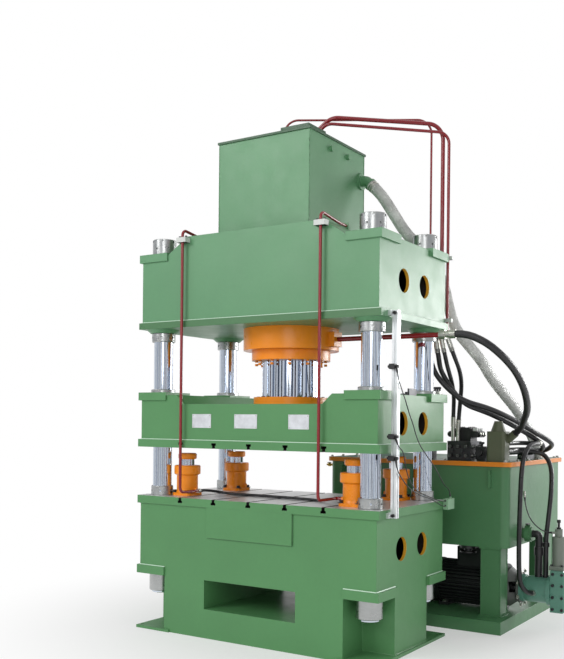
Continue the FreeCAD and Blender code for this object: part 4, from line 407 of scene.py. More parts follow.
def plastic(name, colour, rough=0.4):
    """Moulded plastic with a fine grain."""
    material, tree, shader = start_material(name)
    place = place_on(tree)
    shade_colour(tree, shader, colour, cloud(tree, place, 22, 0.9, 1.12))
    set_inputs(tree, shader, {"Roughness": cloud(tree, place, 60, rough - 0.05, rough + 0.08)})
    relief(tree, shader, cloud(tree, place, 1100, 0, 1, 1), 0.0002, 0.5, 0.001)
    return material


def clear_wall(name):
    """Soft clear hose with the turns of a wire in its wall and a cloudy film inside."""
    material, tree, shader = start_material(name)
    source = add_node(tree, "TexCoord", {})
    turns = add_node(tree, "TexWave", {"Scale": 42, "Distortion": 0.3, "Vector": source.outputs["UV"]},
                     bands_direction="DIAGONAL").outputs["Fac"]
    place = place_on(tree)
    wire = add_node(tree, "MapRange", {"To Min": 0.88, "To Max": 1.08, "Value": turns})
    film = combine(tree, "MULTIPLY", cloud(tree, place, 9, 0.74, 1.08), cloud(tree, place, 34, 0.86, 1.08))
    shade_colour(tree, shader, linear(236, 238, 234), combine(tree, "MULTIPLY", film, wire.outputs["Result"]))
    relief(tree, shader, turns, 0.0012, 0.5)
    set_inputs(tree, shader, {
        "Roughness": cloud(tree, place, 12, 0.16, 0.34), "Transmission Weight": 0.22, "IOR": 1.4})
    return material


FINISHES = {}


def finish(name):
    """The finish of that name, mixed once and kept for every piece that has it."""
    if name in FINISHES:
        return FINISHES[name]
    kit = paint_kit()
    recipes = {
        "frame green": lambda: paint("frame_green", kit.frame_green),
        "crown green": lambda: paint("crown_green", kit.crown_green),
        # A darker copy of the frame green: painted shade on the crown flange's faces and on the welds of the
        # front pad.
        "painted shade green": lambda: paint("painted_shade_green", linear(78, 122, 82)),
        # Near-white green: a painted highlight along the weld beads of the slide, the crown flange and the
        # ledges, where the edges catch the light.
        "painted highlight green": lambda: paint("painted_highlight_green", linear(206, 234, 212), 0.28),
        "unit green": lambda: paint("unit_green", kit.unit_green, 0.34, 0.06),
        "lid green": lambda: paint("lid_green", kit.lid_green),
        "pale green": lambda: paint("pale_green", linear(150, 190, 156)),
        "orange": lambda: paint("cylinder_orange", kit.cylinder_orange, 0.3, 0.07, 0.004, 0.12),
        "rim orange": lambda: paint("rim_orange", kit.rim_orange, 0.3),
        "hole yellow": lambda: paint("hole_yellow", linear(228, 170, 52), 0.4),
        # Near-black brown: painted shade on the walls inside the hollow beams, where little light reaches.
        "inside painted shade": lambda: paint("inside_painted_shade", linear(40, 30, 24), 0.7, 0.2, 0.0, 0.0),
        # Near-black steel on the walls of the T-slots: painted shade, for the deep shadow inside the slots.
        "slot painted shade": lambda: bare_metal("slot_painted_shade", linear(34, 34, 34), 0.5, SLOT_GRAIN, 200, 0.2, 0, 0.3),
        "pipe red": lambda: paint("pipe_red", kit.pipe_red, 0.2, 0.08, 0.0, 0.6),
        "milled top": lambda: bare_metal(
            "milled_top", linear(226, 226, 226), 0.36, MILLED_GRAIN, 180, 0.06, 0.002, 0.6),
        "turned steel": lambda: bare_metal(
            "turned_steel", linear(176, 178, 177), 0.3, TURNED_GRAIN, 420, 0.07),
        "dark steel": lambda: bare_metal("dark_steel", linear(74, 74, 76), 0.42, EVEN, 300, 0.15),
        "plug steel": lambda: bare_metal("plug_steel", linear(112, 114, 112), 0.36),
        "zinc": lambda: bare_metal("zinc_steel", linear(188, 188, 180)),
        "chrome": lambda: chrome("hard_chrome", linear(208, 216, 227)),
        # A darker copy of the column chrome on the ram: painted shade for the ram's darker reflections under
        # the crown.
        "ram chrome painted shade": lambda: chrome("ram_chrome_painted_shade", linear(182, 190, 203)),
        "brass": lambda: bare_metal("brass", linear(196, 160, 82), mottle=0.1),
        "aluminium": lambda: bare_metal(
            "rail_aluminium", linear(224, 227, 228), 0.36, UPRIGHT_GRAIN, 320, 0.03, 0.001, 0.75),
        "plate white": lambda: plastic("plate_white", linear(214, 217, 222), 0.32),
        "black plastic": lambda: plastic("black_plastic", linear(30, 30, 31)),
        "clamp white": lambda: plastic("clamp_white", linear(206, 210, 206)),
        "motor black": lambda: paint("motor_black", linear(40, 42, 43), 0.42, 0.15, 0.003, 0.0),
        "cast grey": lambda: paint("cast_grey", linear(96, 99, 96), 0.5, 0.12, 0.003, 0.0),
        "pump teal": lambda: paint("pump_teal", kit.pump_teal, 0.32, 0.06, 0.003, 0.2),
        "valve grey": lambda: paint("valve_grey", linear(128, 136, 126), 0.4, 0.1),
        "olive": lambda: paint("block_olive", linear(92, 98, 76), 0.42, 0.1),
        "black cover": lambda: rubber("hose_cover", kit.hose_black),
        "cable cover": lambda: rubber("cable_cover", linear(44, 44, 46), 0.42),
        "clear hose": lambda: clear_wall("clear_hose"),
    }
    FINISHES[name] = recipes[name]()
    return FINISHES[name]


def dress(node, *names, choose=None):
    """Gives a solid of the frame its finishes; choose picks one for each face from its middle and normal."""
    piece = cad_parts[node]
    mesh = piece.data
    mesh.materials.clear()
    for name in names:
        mesh.materials.append(finish(name))
    for face in mesh.polygons:
        face.material_index = choose(face.center, face.normal) if choose else 0


def dress_all(name, *nodes):
    """Gives each of the solids one finish all over."""
    for node in nodes:
        dress(node, name)


# ------------------------------------------------------------------ making pieces
SHARP_ANGLE = 35


def mesh_from(bm, name):
    """A mesh from what has been built so far, with its faces turned outwards."""
    bmesh.ops.recalc_face_normals(bm, faces=bm.faces)
    mesh = bpy.data.meshes.new(name)
    bm.to_mesh(mesh)
    bm.free()
    return mesh


def add_object(name, data):
    """A new object in the scene."""
    made = bpy.data.objects.new(name, data)
    bpy.context.scene.collection.objects.link(made)
    return made


def keep_piece(name, bm, finish_name, body="frame"):
    """Puts what has been built in the scene with its finish, on the body that carries it."""
    mesh = mesh_from(bm, name)
    piece = add_object(name, mesh)
    mesh.materials.append(finish(finish_name))
    mesh.shade_smooth()
    mesh.set_sharp_from_angle(angle=math.radians(SHARP_ANGLE))
    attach(piece, body)


def bolt_circle(radius, count, start=0.0):
    """Places round a circle, as pairs; start is the first one's share of a step."""
    turns = (2 * math.pi * (i + start) / count for i in range(count))
    return [(radius * math.cos(a), radius * math.sin(a)) for a in turns]


def aim(origin, direction):
    """A frame at the origin whose Z runs along the direction."""
    turn = Vector(direction).to_track_quat("Z", "Y").to_matrix().to_4x4()
    return Matrix.Translation(origin) @ turn


def turn_profile(bm, profile, frame_of, sides):
    """A body of revolution: profile is (radius, height) from one end to the other."""
    rings = []
    for radius, height in profile:
        if radius < 1e-6:
            rings.append([bm.verts.new(frame_of @ Vector((0, 0, height)))])
            continue
        ring = []
        for i in range(sides):
            a = 2 * math.pi * i / sides
            ring.append(bm.verts.new(frame_of @ Vector((radius * math.cos(a), radius * math.sin(a), height))))
        rings.append(ring)
    for low, high in zip(rings, rings[1:]):
        for i in range(sides):
            j = (i + 1) % sides
            if len(low) == 1 and len(high) == 1:
                continue
            if len(low) == 1:
                bm.faces.new((low[0], high[j], high[i]))
            elif len(high) == 1:
                bm.faces.new((low[i], low[j], high[0]))
            else:
                bm.faces.new((low[i], low[j], high[j], high[i]))


def box_piece(bm, low, high, bevel):
    """A block between two corners with its edges eased."""
    low, high = Vector(low), Vector(high)
    made = bmesh.ops.create_cube(bm, size=1)["verts"]
    bmesh.ops.scale(bm, vec=high - low, verts=made)
    bmesh.ops.translate(bm, vec=(low + high) / 2, verts=made)
    edges = list({e for v in made for e in v.link_edges})
    bmesh.ops.bevel(bm, geom=edges, offset=bevel, segments=2, affect="EDGES", profile=0.6)


def hex_head(bm, seat, direction, width):
    """A hexagon bolt head on its washer, seated on a face."""
    at = aim(seat, direction)
    base = width * 0.12
    r = width * 0.98
    turn_profile(bm, [(0, 0), (r, 0), (r, base * 0.8), (r * 0.96, base), (0, base)], at, 20)
    r = width / math.sqrt(3)
    top = base + width * 0.62
    turn_profile(bm, [(0, base), (r, base), (r, top - width * 0.07), (r * 0.87, top), (0, top)], at, 6)


def socket_head(bm, seat, direction, diameter):
    """A socket cap screw head with its hexagon recess."""
    at = aim(seat, direction)
    height = diameter * 0.66
    r = diameter / 2
    turn_profile(bm, [(r, 0), (r, height * 0.92), (r * 0.93, height), (r * 0.56, height)], at, 18)
    turn_profile(bm, [(r * 0.58, height), (r * 0.56, height * 0.4), (0, height * 0.4)], at, 6)


def sweep_ring(bm, points, radii, sides=6):
    """A round bead that follows the points, with a radius at each."""
    rings = []
    count = len(points)
    for i, point in enumerate(points):
        ahead = Vector(points[min(i + 1, count - 1)]) - Vector(points[max(i - 1, 0)])
        at = aim(point, ahead.normalized())
        r = radii[i]
        rings.append([bm.verts.new(at @ Vector((r * math.cos(a), r * math.sin(a), 0)))
                      for a in (2 * math.pi * k / sides for k in range(sides))])
    for low, high in zip(rings, rings[1:]):
        for k in range(sides):
            j = (k + 1) % sides
            bm.faces.new((low[k], low[j], high[j], high[k]))
    bm.faces.new(rings[0][::-1])
    bm.faces.new(rings[-1])


def weld_bead(bm, start, end, radius):
    """A weld along an inside corner, with the ripples of the torch."""
    start, end = Vector(start), Vector(end)
    run = (end - start).length
    count = max(4, int(run / (radius * 1.1)))
    points = [start.lerp(end, i / count) for i in range(count + 1)]
    sweep_ring(bm, points, [radius * (1.0 if i % 2 else 0.82) for i in range(count + 1)])


# ------------------------------------------------------------------ studio
def lamp(name, place, target, size, power):
    """A large soft lamp aimed at a point."""
    light = bpy.data.lights.new(name, "AREA")
    light.shape = "SQUARE"
    light.size = size
    light.energy = power
    piece = add_object(name, light)
    piece.location = place
    piece.rotation_mode = "QUATERNION"
    piece.rotation_quaternion = (Vector(target) - Vector(place)).to_track_quat("-Z", "Y")
    return light


FLAG_REACH = 10.5
FLAG_HEIGHT = 9
FLAG_BLUE = linear(128, 138, 156)
FLAG_GREY = linear(84, 90, 102)
FLAG_DARK = linear(26, 28, 34)
# Each flag: the azimuth where it starts and its width, in degrees, and its tone.
FLAGS = (
    (-168, 9, FLAG_BLUE), (-150, 5, FLAG_DARK), (-137, 10, FLAG_BLUE), (-122, 4, FLAG_DARK),
    (-112, 8, FLAG_GREY), (-97, 5, FLAG_DARK), (-84, 9, FLAG_BLUE), (-68, 4, FLAG_DARK),
    (-57, 8, FLAG_GREY), (-43, 5, FLAG_DARK), (-31, 9, FLAG_BLUE), (-14, 5, FLAG_DARK),
    (2, 9, FLAG_BLUE), (20, 5, FLAG_DARK), (34, 10, FLAG_GREY), (58, 8, FLAG_BLUE),
    (84, 6, FLAG_DARK), (108, 10, FLAG_GREY), (132, 6, FLAG_DARK), (156, 9, FLAG_BLUE))
EYE_PLACE = (3.5889, -5.6634, 1.5518)
EYE_TURN = 0.5742
EYE_ROLL = 0.0101
WHITE = (1, 1, 1, 1)
# Each lamp: where it stands, what it points at and its width.
KEY_LAMP = ((-4.5, -9.0, 6.8), (0, 0, 2.0), 5.0)
SIDE_LAMP = ((4.6, -9.0, 4.2), (1.0, 0.8, 1.5), 4.0)
HORIZON_LAMP = ((5.4, 9.4, 3.15), (0.9, 0, 2.2), 6.0)
HORIZON_HEIGHT = 2.6
HORIZON_DIFFUSE = 0.03


def studio_flag(name, azimuth, width, tone):
    """An upright panel that only mirrors in the bright bars, as a photographer's flag does."""
    bm = bmesh.new()
    sides = map(math.radians, (azimuth, azimuth + width))
    ends = [Vector((FLAG_REACH * math.cos(a), FLAG_REACH * math.sin(a), 0)) for a in sides]
    rise = Vector((0, 0, FLAG_HEIGHT))
    bm.faces.new([bm.verts.new(p) for p in (ends[0], ends[1], ends[1] + rise, ends[0] + rise)])
    mesh = mesh_from(bm, name)
    material = bpy.data.materials.new(name)
    tree, out = blank_tree(material, "Material")
    glow = add_node(tree, "Emission", {"Color": (*tone, 1)})
    tree.links.new(glow.outputs[0], out.inputs[0])
    mesh.materials.append(material)
    panel = add_object(name, mesh)
    panel.visible_camera = False
    panel.visible_diffuse = False
    panel.visible_shadow = False
    panel.visible_transmission = False


class PRESS_OT_studio(bpy.types.Operator):
    """Camera at eye height to the right of the operator's place, pale floor and soft lamps"""

    bl_idname = "press.studio"
    bl_label = "Studio"

    def execute(self, context):
        kit = studio_kit()
        scene = context.scene
        scene.view_settings.view_transform = "Standard"
        camera = bpy.data.cameras.new("eye_height")
        camera.sensor_width = 36
        camera.lens = kit.camera_lens
        camera.shift_y = 0.139
        camera.clip_start, camera.clip_end = 0.1, 200
        eye = add_object("eye_height", camera)
        eye.matrix_world = (Matrix.Translation(EYE_PLACE) @ Matrix.Rotation(EYE_TURN, 4, "Z")
                            @ Matrix.Rotation(math.pi / 2, 4, "X") @ Matrix.Rotation(EYE_ROLL, 4, "Z"))
        scene.camera = eye

        world = bpy.data.worlds.new("white_cyclorama")
        tree, out = blank_tree(world, "World")
        soft = add_node(tree, "Background", {"Color": WHITE, "Strength": kit.sky_level})
        seen = add_node(tree, "Background", {"Color": WHITE, "Strength": 1})
        mix_shaders(tree, seen_rays(tree), soft, seen, out)
        scene.world = world

        bm = bmesh.new()
        bmesh.ops.create_circle(bm, cap_ends=True, radius=60, segments=64)
        floor_mesh = mesh_from(bm, "floor")
        floor = add_object("floor", floor_mesh)
        floor.location.z = -0.0005
        material, tree, shader = start_material("pale_floor")
        tone = kit.floor_tone
        shade_colour(tree, shader, (tone, tone, tone), cloud(tree, place_on(tree), 0.6, 0.99, 1.01))
        set_inputs(tree, shader, {"Roughness": 0.9, "Specular IOR Level": 0.1})
        white = add_node(tree, "Emission", {"Color": WHITE})
        reach = add_node(tree, "VectorMath", {0: place_on(tree), 1: (0.3, 0.7, 0)}, operation="DISTANCE")
        fade = add_node(tree, "MapRange", {
            "From Min": 1.2, "From Max": 3.4, "To Min": 0.35, "Value": reach.outputs["Value"]},
            interpolation_type="SMOOTHSTEP")
        share = combine(tree, "MULTIPLY", seen_rays(tree), fade.outputs["Result"])
        mix_shaders(tree, share, shader, white, tree.nodes["Material Output"])
        floor_mesh.materials.append(material)

        lamp("key_lamp", *KEY_LAMP, kit.key_power)
        lamp("side_lamp", *SIDE_LAMP, kit.fill_power)
        glow = lamp("horizon_lamp", *HORIZON_LAMP, kit.glow_power)
        glow.shape = "RECTANGLE"
        glow.size_y = HORIZON_HEIGHT
        glow.diffuse_factor = HORIZON_DIFFUSE
        for i, flag in enumerate(FLAGS):
            studio_flag("flag_%d" % i, *flag)
        return {"FINISHED"}


# ------------------------------------------------------------------ hoses and cables
class PRESS_OT_hoses(bpy.types.Operator):
    """Hoses and cables, each one smooth line through the points of its route"""

    bl_idname = "press.hoses"
    bl_label = "Hoses and cables"

    def execute(self, context):
        finishes = {"hose": ("black cover", "black_rubber"), "cable": ("cable cover", "black_rubber"),
                    "clear": ("clear hose", "clear_hose")}
        widest_cable = 0.015
        for name, (diameter, points) in ROUTES.items():
            length, stiffness, lay, cover = HOSE_FACTS[name]
            curve = bpy.data.curves.new(name + "_line", "CURVE")
            curve.dimensions = "3D"
            curve.bevel_depth = diameter / 2
            curve.bevel_resolution = trim_kit().hose_sides if diameter > widest_cable else 3
            curve.resolution_u = 10
            curve.use_fill_caps = True
            spline = curve.splines.new("NURBS")
            spline.points.add(len(points) - 1)
            for knot, point in zip(spline.points, points):
                knot.co = (*point, 1)
            spline.order_u = 3
            spline.use_endpoint_u = True
            piece = add_object(name + "_cover", curve)
            colour, slot = finishes[cover]
            curve.materials.append(finish(colour))
            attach(piece, "frame")
            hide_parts(name)
        return {"FINISHED"}


# ------------------------------------------------------------------ paint on the frame's solids
def side_hole_face(middle, normal, height):
    """True on the wall of a round hole in the ends of a beam."""
    if abs(normal.x) > 0.2 or abs(middle.x) < 0.93:
        return False
    reach = math.hypot(abs(middle.y) - SIDE_HOLE_Y, middle.z - height)
    return reach < SIDE_HOLE_RADIUS * 1.15


def between(value, span):
    """True where the value lies inside the span."""
    return span[0] < value < span[1]


def slot_face(middle, normal, heights):
    """True on the walls of the T-slots between two heights, and not on their ends."""
    in_slot = any(abs(middle.x - x) < SLOT_HALF_WIDTH for x in SLOT_X)
    return between(middle.z, heights) and in_slot and abs(normal.y) < 0.5


def beam_room(middle, heights):
    """True on the walls inside a hollow beam."""
    return abs(middle.x) < BEAM_INSIDE_X and abs(middle.y) < BEAM_INSIDE_Y and between(middle.z, heights)


class PRESS_OT_frame_paint(bpy.types.Operator):
    """Green paint on the base, crown and slide, with yellow hole rims, and near-black T-slot walls and beam
    insides that are painted shade
    """

    bl_idname = "press.frame_paint"
    bl_label = "Frame paint"

    def execute(self, context):
        def base(middle, normal):
            if side_hole_face(middle, normal, BASE_HOLE_Z):
                return 1
            outer_notch = abs(middle.x) > NOTCH_X and abs(middle.y) > NOTCH_Y and middle.z < NOTCH_TOP
            tunnel = abs(middle.x) < TUNNEL_X and between(middle.z, TUNNEL_Z)
            if beam_room(middle, BASE_ROOM_Z) and not outer_notch and not tunnel:
                return 2
            return 0

        def crown(middle, normal):
            if side_hole_face(middle, normal, CROWN_HOLE_Z):
                return 1
            if beam_room(middle, CROWN_ROOM_Z):
                return 2
            # The flange's front and back faces take the darker green, as painted shade.
            return 3 if abs(middle.y) > FLANGE_Y and between(middle.z, FLANGE_Z) else 0

        def slide(middle, normal):
            if side_hole_face(middle, normal, SLIDE_HOLE_Z):
                return 1
            if slot_face(middle, normal, SLIDE_SLOT_Z):
                return 3
            if normal.z < -0.9 and middle.z < SLIDE_BOTTOM:
                return 4
            return 2 if beam_room(middle, SLIDE_ROOM_Z) else 0

        def table(middle, normal):
            if slot_face(middle, normal, TABLE_SLOT_Z):
                return 1
            return 2 if normal.z > 0.9 and middle.z > TABLE_TOP else 0

        # Walls inside the hollow beams take the near-black brown and the T-slot walls the near-black steel,
        # both painted shade.
        dress("base_bed", "frame green", "hole yellow", "inside painted shade", choose=base)
        dress("crown_beam", "crown green", "hole yellow", "inside painted shade", "painted shade green", choose=crown)
        dress("slide_beam", "frame green", "hole yellow", "inside painted shade", "slot painted shade", "turned steel",
              choose=slide)
        dress("table_plate", "frame green", "slot painted shade", "milled top", choose=table)
        dress_all("crown green", "head_tank")
        dress_all("lid green", "head_tank_lid")
        dress_all("pale green", "cable_bracket")
        return {"FINISHED"}


class PRESS_OT_bars(bpy.types.Operator):
    """Chromed columns and ram, turned nuts and collars, bush rings"""

    bl_idname = "press.bars"
    bl_label = "Columns and ram"

    def execute(self, context):
        cap_bottom = 1.259
        dress_all("chrome", "columns")
        dress_all("ram chrome painted shade", "ram")
        dress_all("turned steel", "column_nuts", "column_collars", "guide_bushes")
        for tag in ("fl", "fr", "rl", "rr"):
            dress("buffer_rod_" + tag, "chrome", "orange", choose=lambda m, n: 1 if m.z > cap_bottom else 0)
        return {"FINISHED"}


class PRESS_OT_cylinder(bpy.types.Operator):
    """Orange cylinder rings, ram flange and buffers"""

    bl_idname = "press.cylinder"
    bl_label = "Cylinder and buffers"

    def execute(self, context):
        dress_all("orange", "cylinder_barrel", "cylinder_ring", "gland_flange", "ram_flange", "buffer_bodies")
        return {"FINISHED"}


class PRESS_OT_pipes(bpy.types.Operator):
    """Red rigid pipes with their clamps, nuts and hose ends"""

    bl_idname = "press.pipes"
    bl_label = "Pipes and clamps"

    def execute(self, context):
        dress_all("pipe red", "front_pipes", "rear_pipes", "cylinder_pipe")
        dress("pipe_clamps", "clamp white", "dark steel", choose=lambda m, n: 1 if n.z < -0.5 else 0)
        dress_all("zinc", "hose_ends")
        return {"FINISHED"}


class PRESS_OT_slide_trim(bpy.types.Operator):
    """Plates, striker, switch rail and its switches"""

    bl_idname = "press.slide_trim"
    bl_label = "Slide trim and rail"

    def execute(self, context):
        dress_all("plate white", "name_plates")
        dress_all("dark steel", "slide_striker")
        dress_all("aluminium", "switch_rail")
        dress_all("black plastic", "proximity_switches")
        return {"FINISHED"}


class PRESS_OT_unit_paint(bpy.types.Operator):
    """Finishes of the oil tank, skid, motor, pump and the blocks on the lid"""

    bl_idname = "press.unit_paint"
    bl_label = "Power unit"

    def execute(self, context):
        def tank(middle, _):
            low, reach = 0.6151, 0.0605
            drain = abs(middle.x - DRAIN[0]) < reach and abs(middle.y - DRAIN[1]) < reach
            return 1 if middle.z < low and drain else 0

        dress("oil_tank", "unit green", "motor black", choose=tank)
        dress("unit_lid", "rim orange", "lid green", choose=lambda m, n: 1 if n.z > 0.9 else 0)
        dress_all("unit green", "unit_skid", "unit_legs", "side_valve")
        dress_all("motor black", "motor_body", "fan_cover")
        dress_all("dark steel", "motor_rotor", "valve_manifold")
        dress_all("cast grey", "bell_housing")
        dress_all("pump teal", "pump_body", "pump_head")
        dress_all("valve grey", "relief_valve")
        dress_all("black cover", "unit_pipes")
        dress_all("black plastic", "side_lever", "lid_valves")
        dress_all("olive", "return_filter")
        return {"FINISHED"}


# ------------------------------------------------------------------ pieces on the solids
def both():
    """Every pair of signs, for pieces at the four corners."""
    return [(a, b) for a in (-1, 1) for b in (-1, 1)]


def bolt_group(name, seats, direction, width, finish_name, head=socket_head, body="frame"):
    """Like bolts as one piece, each seated at its point."""
    bm = bmesh.new()
    for seat in seats:
        head(bm, seat, direction, width)
    keep_piece(name, bm, finish_name, body)


def bead_group(name, runs, radius, finish_name, body="frame"):
    """Weld beads as one piece, each from one point to another."""
    bm = bmesh.new()
    for start, end in runs:
        weld_bead(bm, start, end, radius)
    keep_piece(name, bm, finish_name, body)


def hose_ends(name):
    """The two ends of a hose, each with the way that the hose leaves it."""
    points = [Vector(point) for point in ROUTES[name][1]]
    return [(tip, (after - tip).normalized()) for tip, after in (points[:2], points[:-3:-1])]


def around(x, y, z):
    """The four sides of a level rectangle, as runs."""
    c = ((-x, -y, z), (x, -y, z), (x, y, z), (-x, y, z))
    return [(c[i], c[(i + 1) % 4]) for i in range(4)]


class PRESS_OT_welds(bpy.types.Operator):
    """Weld beads where the plates of the base, slide, crown and head tank meet; the beads on the slide, the
    crown flange and the ledges are near-white, a painted highlight along the edges, and those on the front
    pad are darker, painted shade
    """

    bl_idname = "press.welds"
    bl_label = "Weld beads"

    def execute(self, context):
        r = trim_kit().weld_radius
        slide_z, crown_z, tank_z, table_z = 1.4085, 2.2735, 2.8805, 0.9315
        # The beads round the slide and the crown flange are near-white: a painted highlight along those
        # edges.
        bead_group("slide_welds_painted_highlight", around(BEAD_X, BEAD_Y, slide_z), r, "painted highlight green", body="slide")
        bead_group("crown_flange_welds_painted_highlight", around(BEAD_X, BEAD_Y, crown_z), r, "painted highlight green")
        tank_x, tank_y, tank_low, tank_high = 0.381, 0.395, 2.884, 3.543
        tank = around(tank_x, tank_y, tank_z)
        tank += [((a * tank_x, b * tank_y, tank_low), (a * tank_x, b * tank_y, tank_high)) for a, b in both()]
        bead_group("tank_welds", tank, r * 0.6, "crown green")
        bead_group("table_welds", around(BEAD_X, BEAD_Y, table_z), r * 0.8, "frame green")
        pad_x, pad_low, pad_high = 0.358, 0.718, 0.931
        pad = [((-0.357, -BEAD_Y, 0.717), (0.357, -BEAD_Y, 0.717))]
        pad += [((a * pad_x, -BEAD_Y, pad_low), (a * pad_x, -BEAD_Y, pad_high)) for a in (-1, 1)]
        # These welds take the darker green, as painted shade in the corners of the pad.
        bead_group("pad_welds_painted_shade", pad, r * 0.8, "painted shade green")
        ledge_z, notch_top, low = 0.473, 0.409, FOOT_TOP
        ledges, notches = [], []
        for a, b in both():
            x, y = a * BEAD_X, b * BEAD_Y
            x_in, y_in = a * 0.748, b * 0.255
            ledges += [((x, y, ledge_z), (x, y_in, ledge_z)), ((x, y, ledge_z), (x_in, y, ledge_z))]
            notches += [((x_in, y_in, 0.022), (x_in, y_in, 0.408)),
                        ((x_in, y, notch_top), (x_in, y_in, notch_top)),
                        ((x_in, y_in, notch_top), (x, y_in, notch_top)),
                        ((x_in, y, low), (x_in, y_in, low)), ((x_in, y_in, low), (x, y_in, low))]
        feet = [((a * BEAD_X, -NOTCH_Y, low), (a * BEAD_X, NOTCH_Y, low)) for a in (-1, 1)]
        # The ledge beads are near-white: a painted highlight along the ledges' top edges.
        bead_group("ledge_welds_painted_highlight", ledges, r, "painted highlight green")
        bead_group("notch_welds", notches + feet, r * 0.9, "frame green")
        half_leg, leg_low, leg_high = 0.0755, 0.108, 0.6
        corners = [(x + a * half_leg, y + b * half_leg)
                   for x in (-0.060, 1.203) for y in (1.013, 2.184) for a, b in both()]
        legs = [((x, y, leg_low), (x, y, leg_high)) for x, y in corners]
        bead_group("leg_welds", legs, r * 0.7, "unit green")
        return {"FINISHED"}


class PRESS_OT_bolts(bpy.types.Operator):
    """Bolts of the buffers, the ram flange, the gland, the pipe clamps and the rail"""

    bl_idname = "press.bolts"
    bl_label = "Bolts"

    def execute(self, context):
        foot, foot_top, flange_top, gland_bottom = 0.065, 1.0125, 1.7132, 1.9718
        feet = [(i * BUFFER_X + a * foot, j * BUFFER_Y + b * foot, foot_top)
                for i, j in both() for a, b in both()]
        bolt_group("buffer_bolts", feet, UP, 0.026, "dark steel", hex_head)
        ring = [(x, y, flange_top) for x, y in bolt_circle(0.242, 8, 0.5)]
        bolt_group("ram_flange_bolts", ring, UP, 0.028, "dark steel", body="slide")
        gland = [(x, y, gland_bottom) for x, y in bolt_circle(0.255, 12)]
        bolt_group("gland_bolts", gland, DOWN, 0.0242, "orange")
        pipes_x, clamp_y, clamp_top = (-0.583, 0.572), -0.5545, 2.8682
        clamps = [(x + d, clamp_y, clamp_top) for x in pipes_x for d in (-0.028, 0.028)]
        bolt_group("front_clamp_bolts", clamps, UP, 0.018, "dark steel")
        rear_face, rear_x, rear_z = 0.5912, (0.806, 0.870, 0.9, 0.962, 1.008), (2.3, 2.756)
        rear = [(x, rear_face, z) for z in rear_z for x in rear_x]
        bolt_group("rear_clamp_bolts", rear, BACK, 0.014, "zinc")
        rail = [(1.048, -0.4212, z) for z in (2.25, 0.956)]
        bolt_group("rail_bolts", rail, FRONT, 0.022, "black plastic")
        side = [(1.0365, -0.43, z) for z in (2.25, 0.955)]
        bolt_group("rail_bracket_bolts", side, RIGHT, 0.014, "dark steel")
        return {"FINISHED"}


class PRESS_OT_plates(bpy.types.Operator):
    """Bare plates on the slide, each with a raised border and four rivets"""

    bl_idname = "press.plates"
    bl_label = "Plate borders and rivets"

    def execute(self, context):
        spans = ((-0.502, -0.334), (-0.130, 0.062), (0.317, 0.478))
        z0, z1, y = 1.498, 1.596, -0.5281
        raised = y - 0.0008
        wide = 0.002
        from_edge = 0.009
        r = trim_kit().rivet_width / 2
        borders, rivets = bmesh.new(), bmesh.new()
        for x0, x1 in spans:
            for xa, xb, za, zb in ((x0, x1, z0, z0 + wide), (x0, x1, z1 - wide, z1),
                                   (x0, x0 + wide, z0, z1), (x1 - wide, x1, z0, z1)):
                box_piece(borders, (xa, raised, za), (xb, y, zb), 0.0003)
            for x in (x0 + from_edge, x1 - from_edge):
                for z in (z0 + from_edge, z1 - from_edge):
                    turn_profile(rivets, [(r, 0), (r * 0.92, r * 0.45), (r * 0.55, r * 0.8), (0, r * 0.9)],
                                 aim((x, y, z), FRONT), 14)
        keep_piece("plate_borders", borders, "aluminium", "slide")
        keep_piece("plate_rivets", rivets, "zinc", "slide")
        return {"FINISHED"}


class PRESS_OT_switch_parts(bpy.types.Operator):
    """Tapered cable relief of each switch, and the switch block on the rear of the slide"""

    bl_idname = "press.switch_parts"
    bl_label = "Switch parts"

    def execute(self, context):
        reliefs = bmesh.new()
        ribs, start, groove, taper = 7, 0.004, 0.002, 0.026
        for name in ("switch_cable_top", "switch_cable_middle", "switch_cable_low", "level_cable"):
            r = ROUTES[name][0] / 2
            for tip, way in hose_ends(name):
                rings = [(r * 1.02, 0.0), (r * 2.0, 0.0)]
                for i in range(ribs):
                    t = i / (ribs - 1)
                    rings.append((r * (1.9 - 0.7 * t), start + taper * t))
                    rings.append((r * (1.66 - 0.56 * t), start + groove + taper * t))
                rings.append((r * 1.02, 0.0335))
                turn_profile(reliefs, rings, aim(tip, way), 16)
        keep_piece("cable_reliefs", reliefs, "black plastic")
        block, knobs = bmesh.new(), bmesh.new()
        top = 1.778
        box_piece(block, (0.925, 0.452, 1.7552), (0.985, 0.505, top), 0.002)
        knob = [(0, 0), (0.0075, 0), (0.0075, 0.016), (0.0105, 0.019), (0.0105, 0.03),
                (0.008, 0.033), (0, 0.033)]
        for x in (0.938, 0.956, 0.974):
            turn_profile(knobs, knob, aim((x, 0.478, top), UP), 16)
        keep_piece("slide_block", block, "zinc", "slide")
        keep_piece("slide_block_knobs", knobs, "black plastic", "slide")
        return {"FINISHED"}


class PRESS_OT_hose_trim(bpy.types.Operator):
    """Band clamps of the clear hose and rings on the crimped ends"""

    bl_idname = "press.hose_trim"
    bl_label = "Hose clamps"

    def execute(self, context):
        bands = bmesh.new()
        r = ROUTES["prefill_hose"][0] / 2 + 0.0006
        band = [(r, 0), (r + 0.0022, 0.0004), (r + 0.0022, 0.0106), (r, 0.011)]
        for tip, way in hose_ends("prefill_hose"):
            for step in (0.012, 0.030):
                turn_profile(bands, band, aim(tip + way * step, way), 40)
        keep_piece("hose_bands", bands, "zinc")
        rings = bmesh.new()
        start, pitch = 0.004, 0.009
        for name in ("supply_hose_upper", "supply_hose_lower", "manifold_hose_left", "manifold_hose_right",
                     "pump_hose"):
            tip, way = hose_ends(name)[0]
            r = ROUTES[name][0] / 2 + 0.0034
            ring = [(r - 0.003, 0), (r + 0.001, 0.001), (r + 0.001, 0.005), (r - 0.003, 0.006)]
            for i in range(3):
                turn_profile(rings, ring, aim(tip + way * (start + pitch * i), way), 28)
        keep_piece("crimp_rings", rings, "zinc")
        return {"FINISHED"}


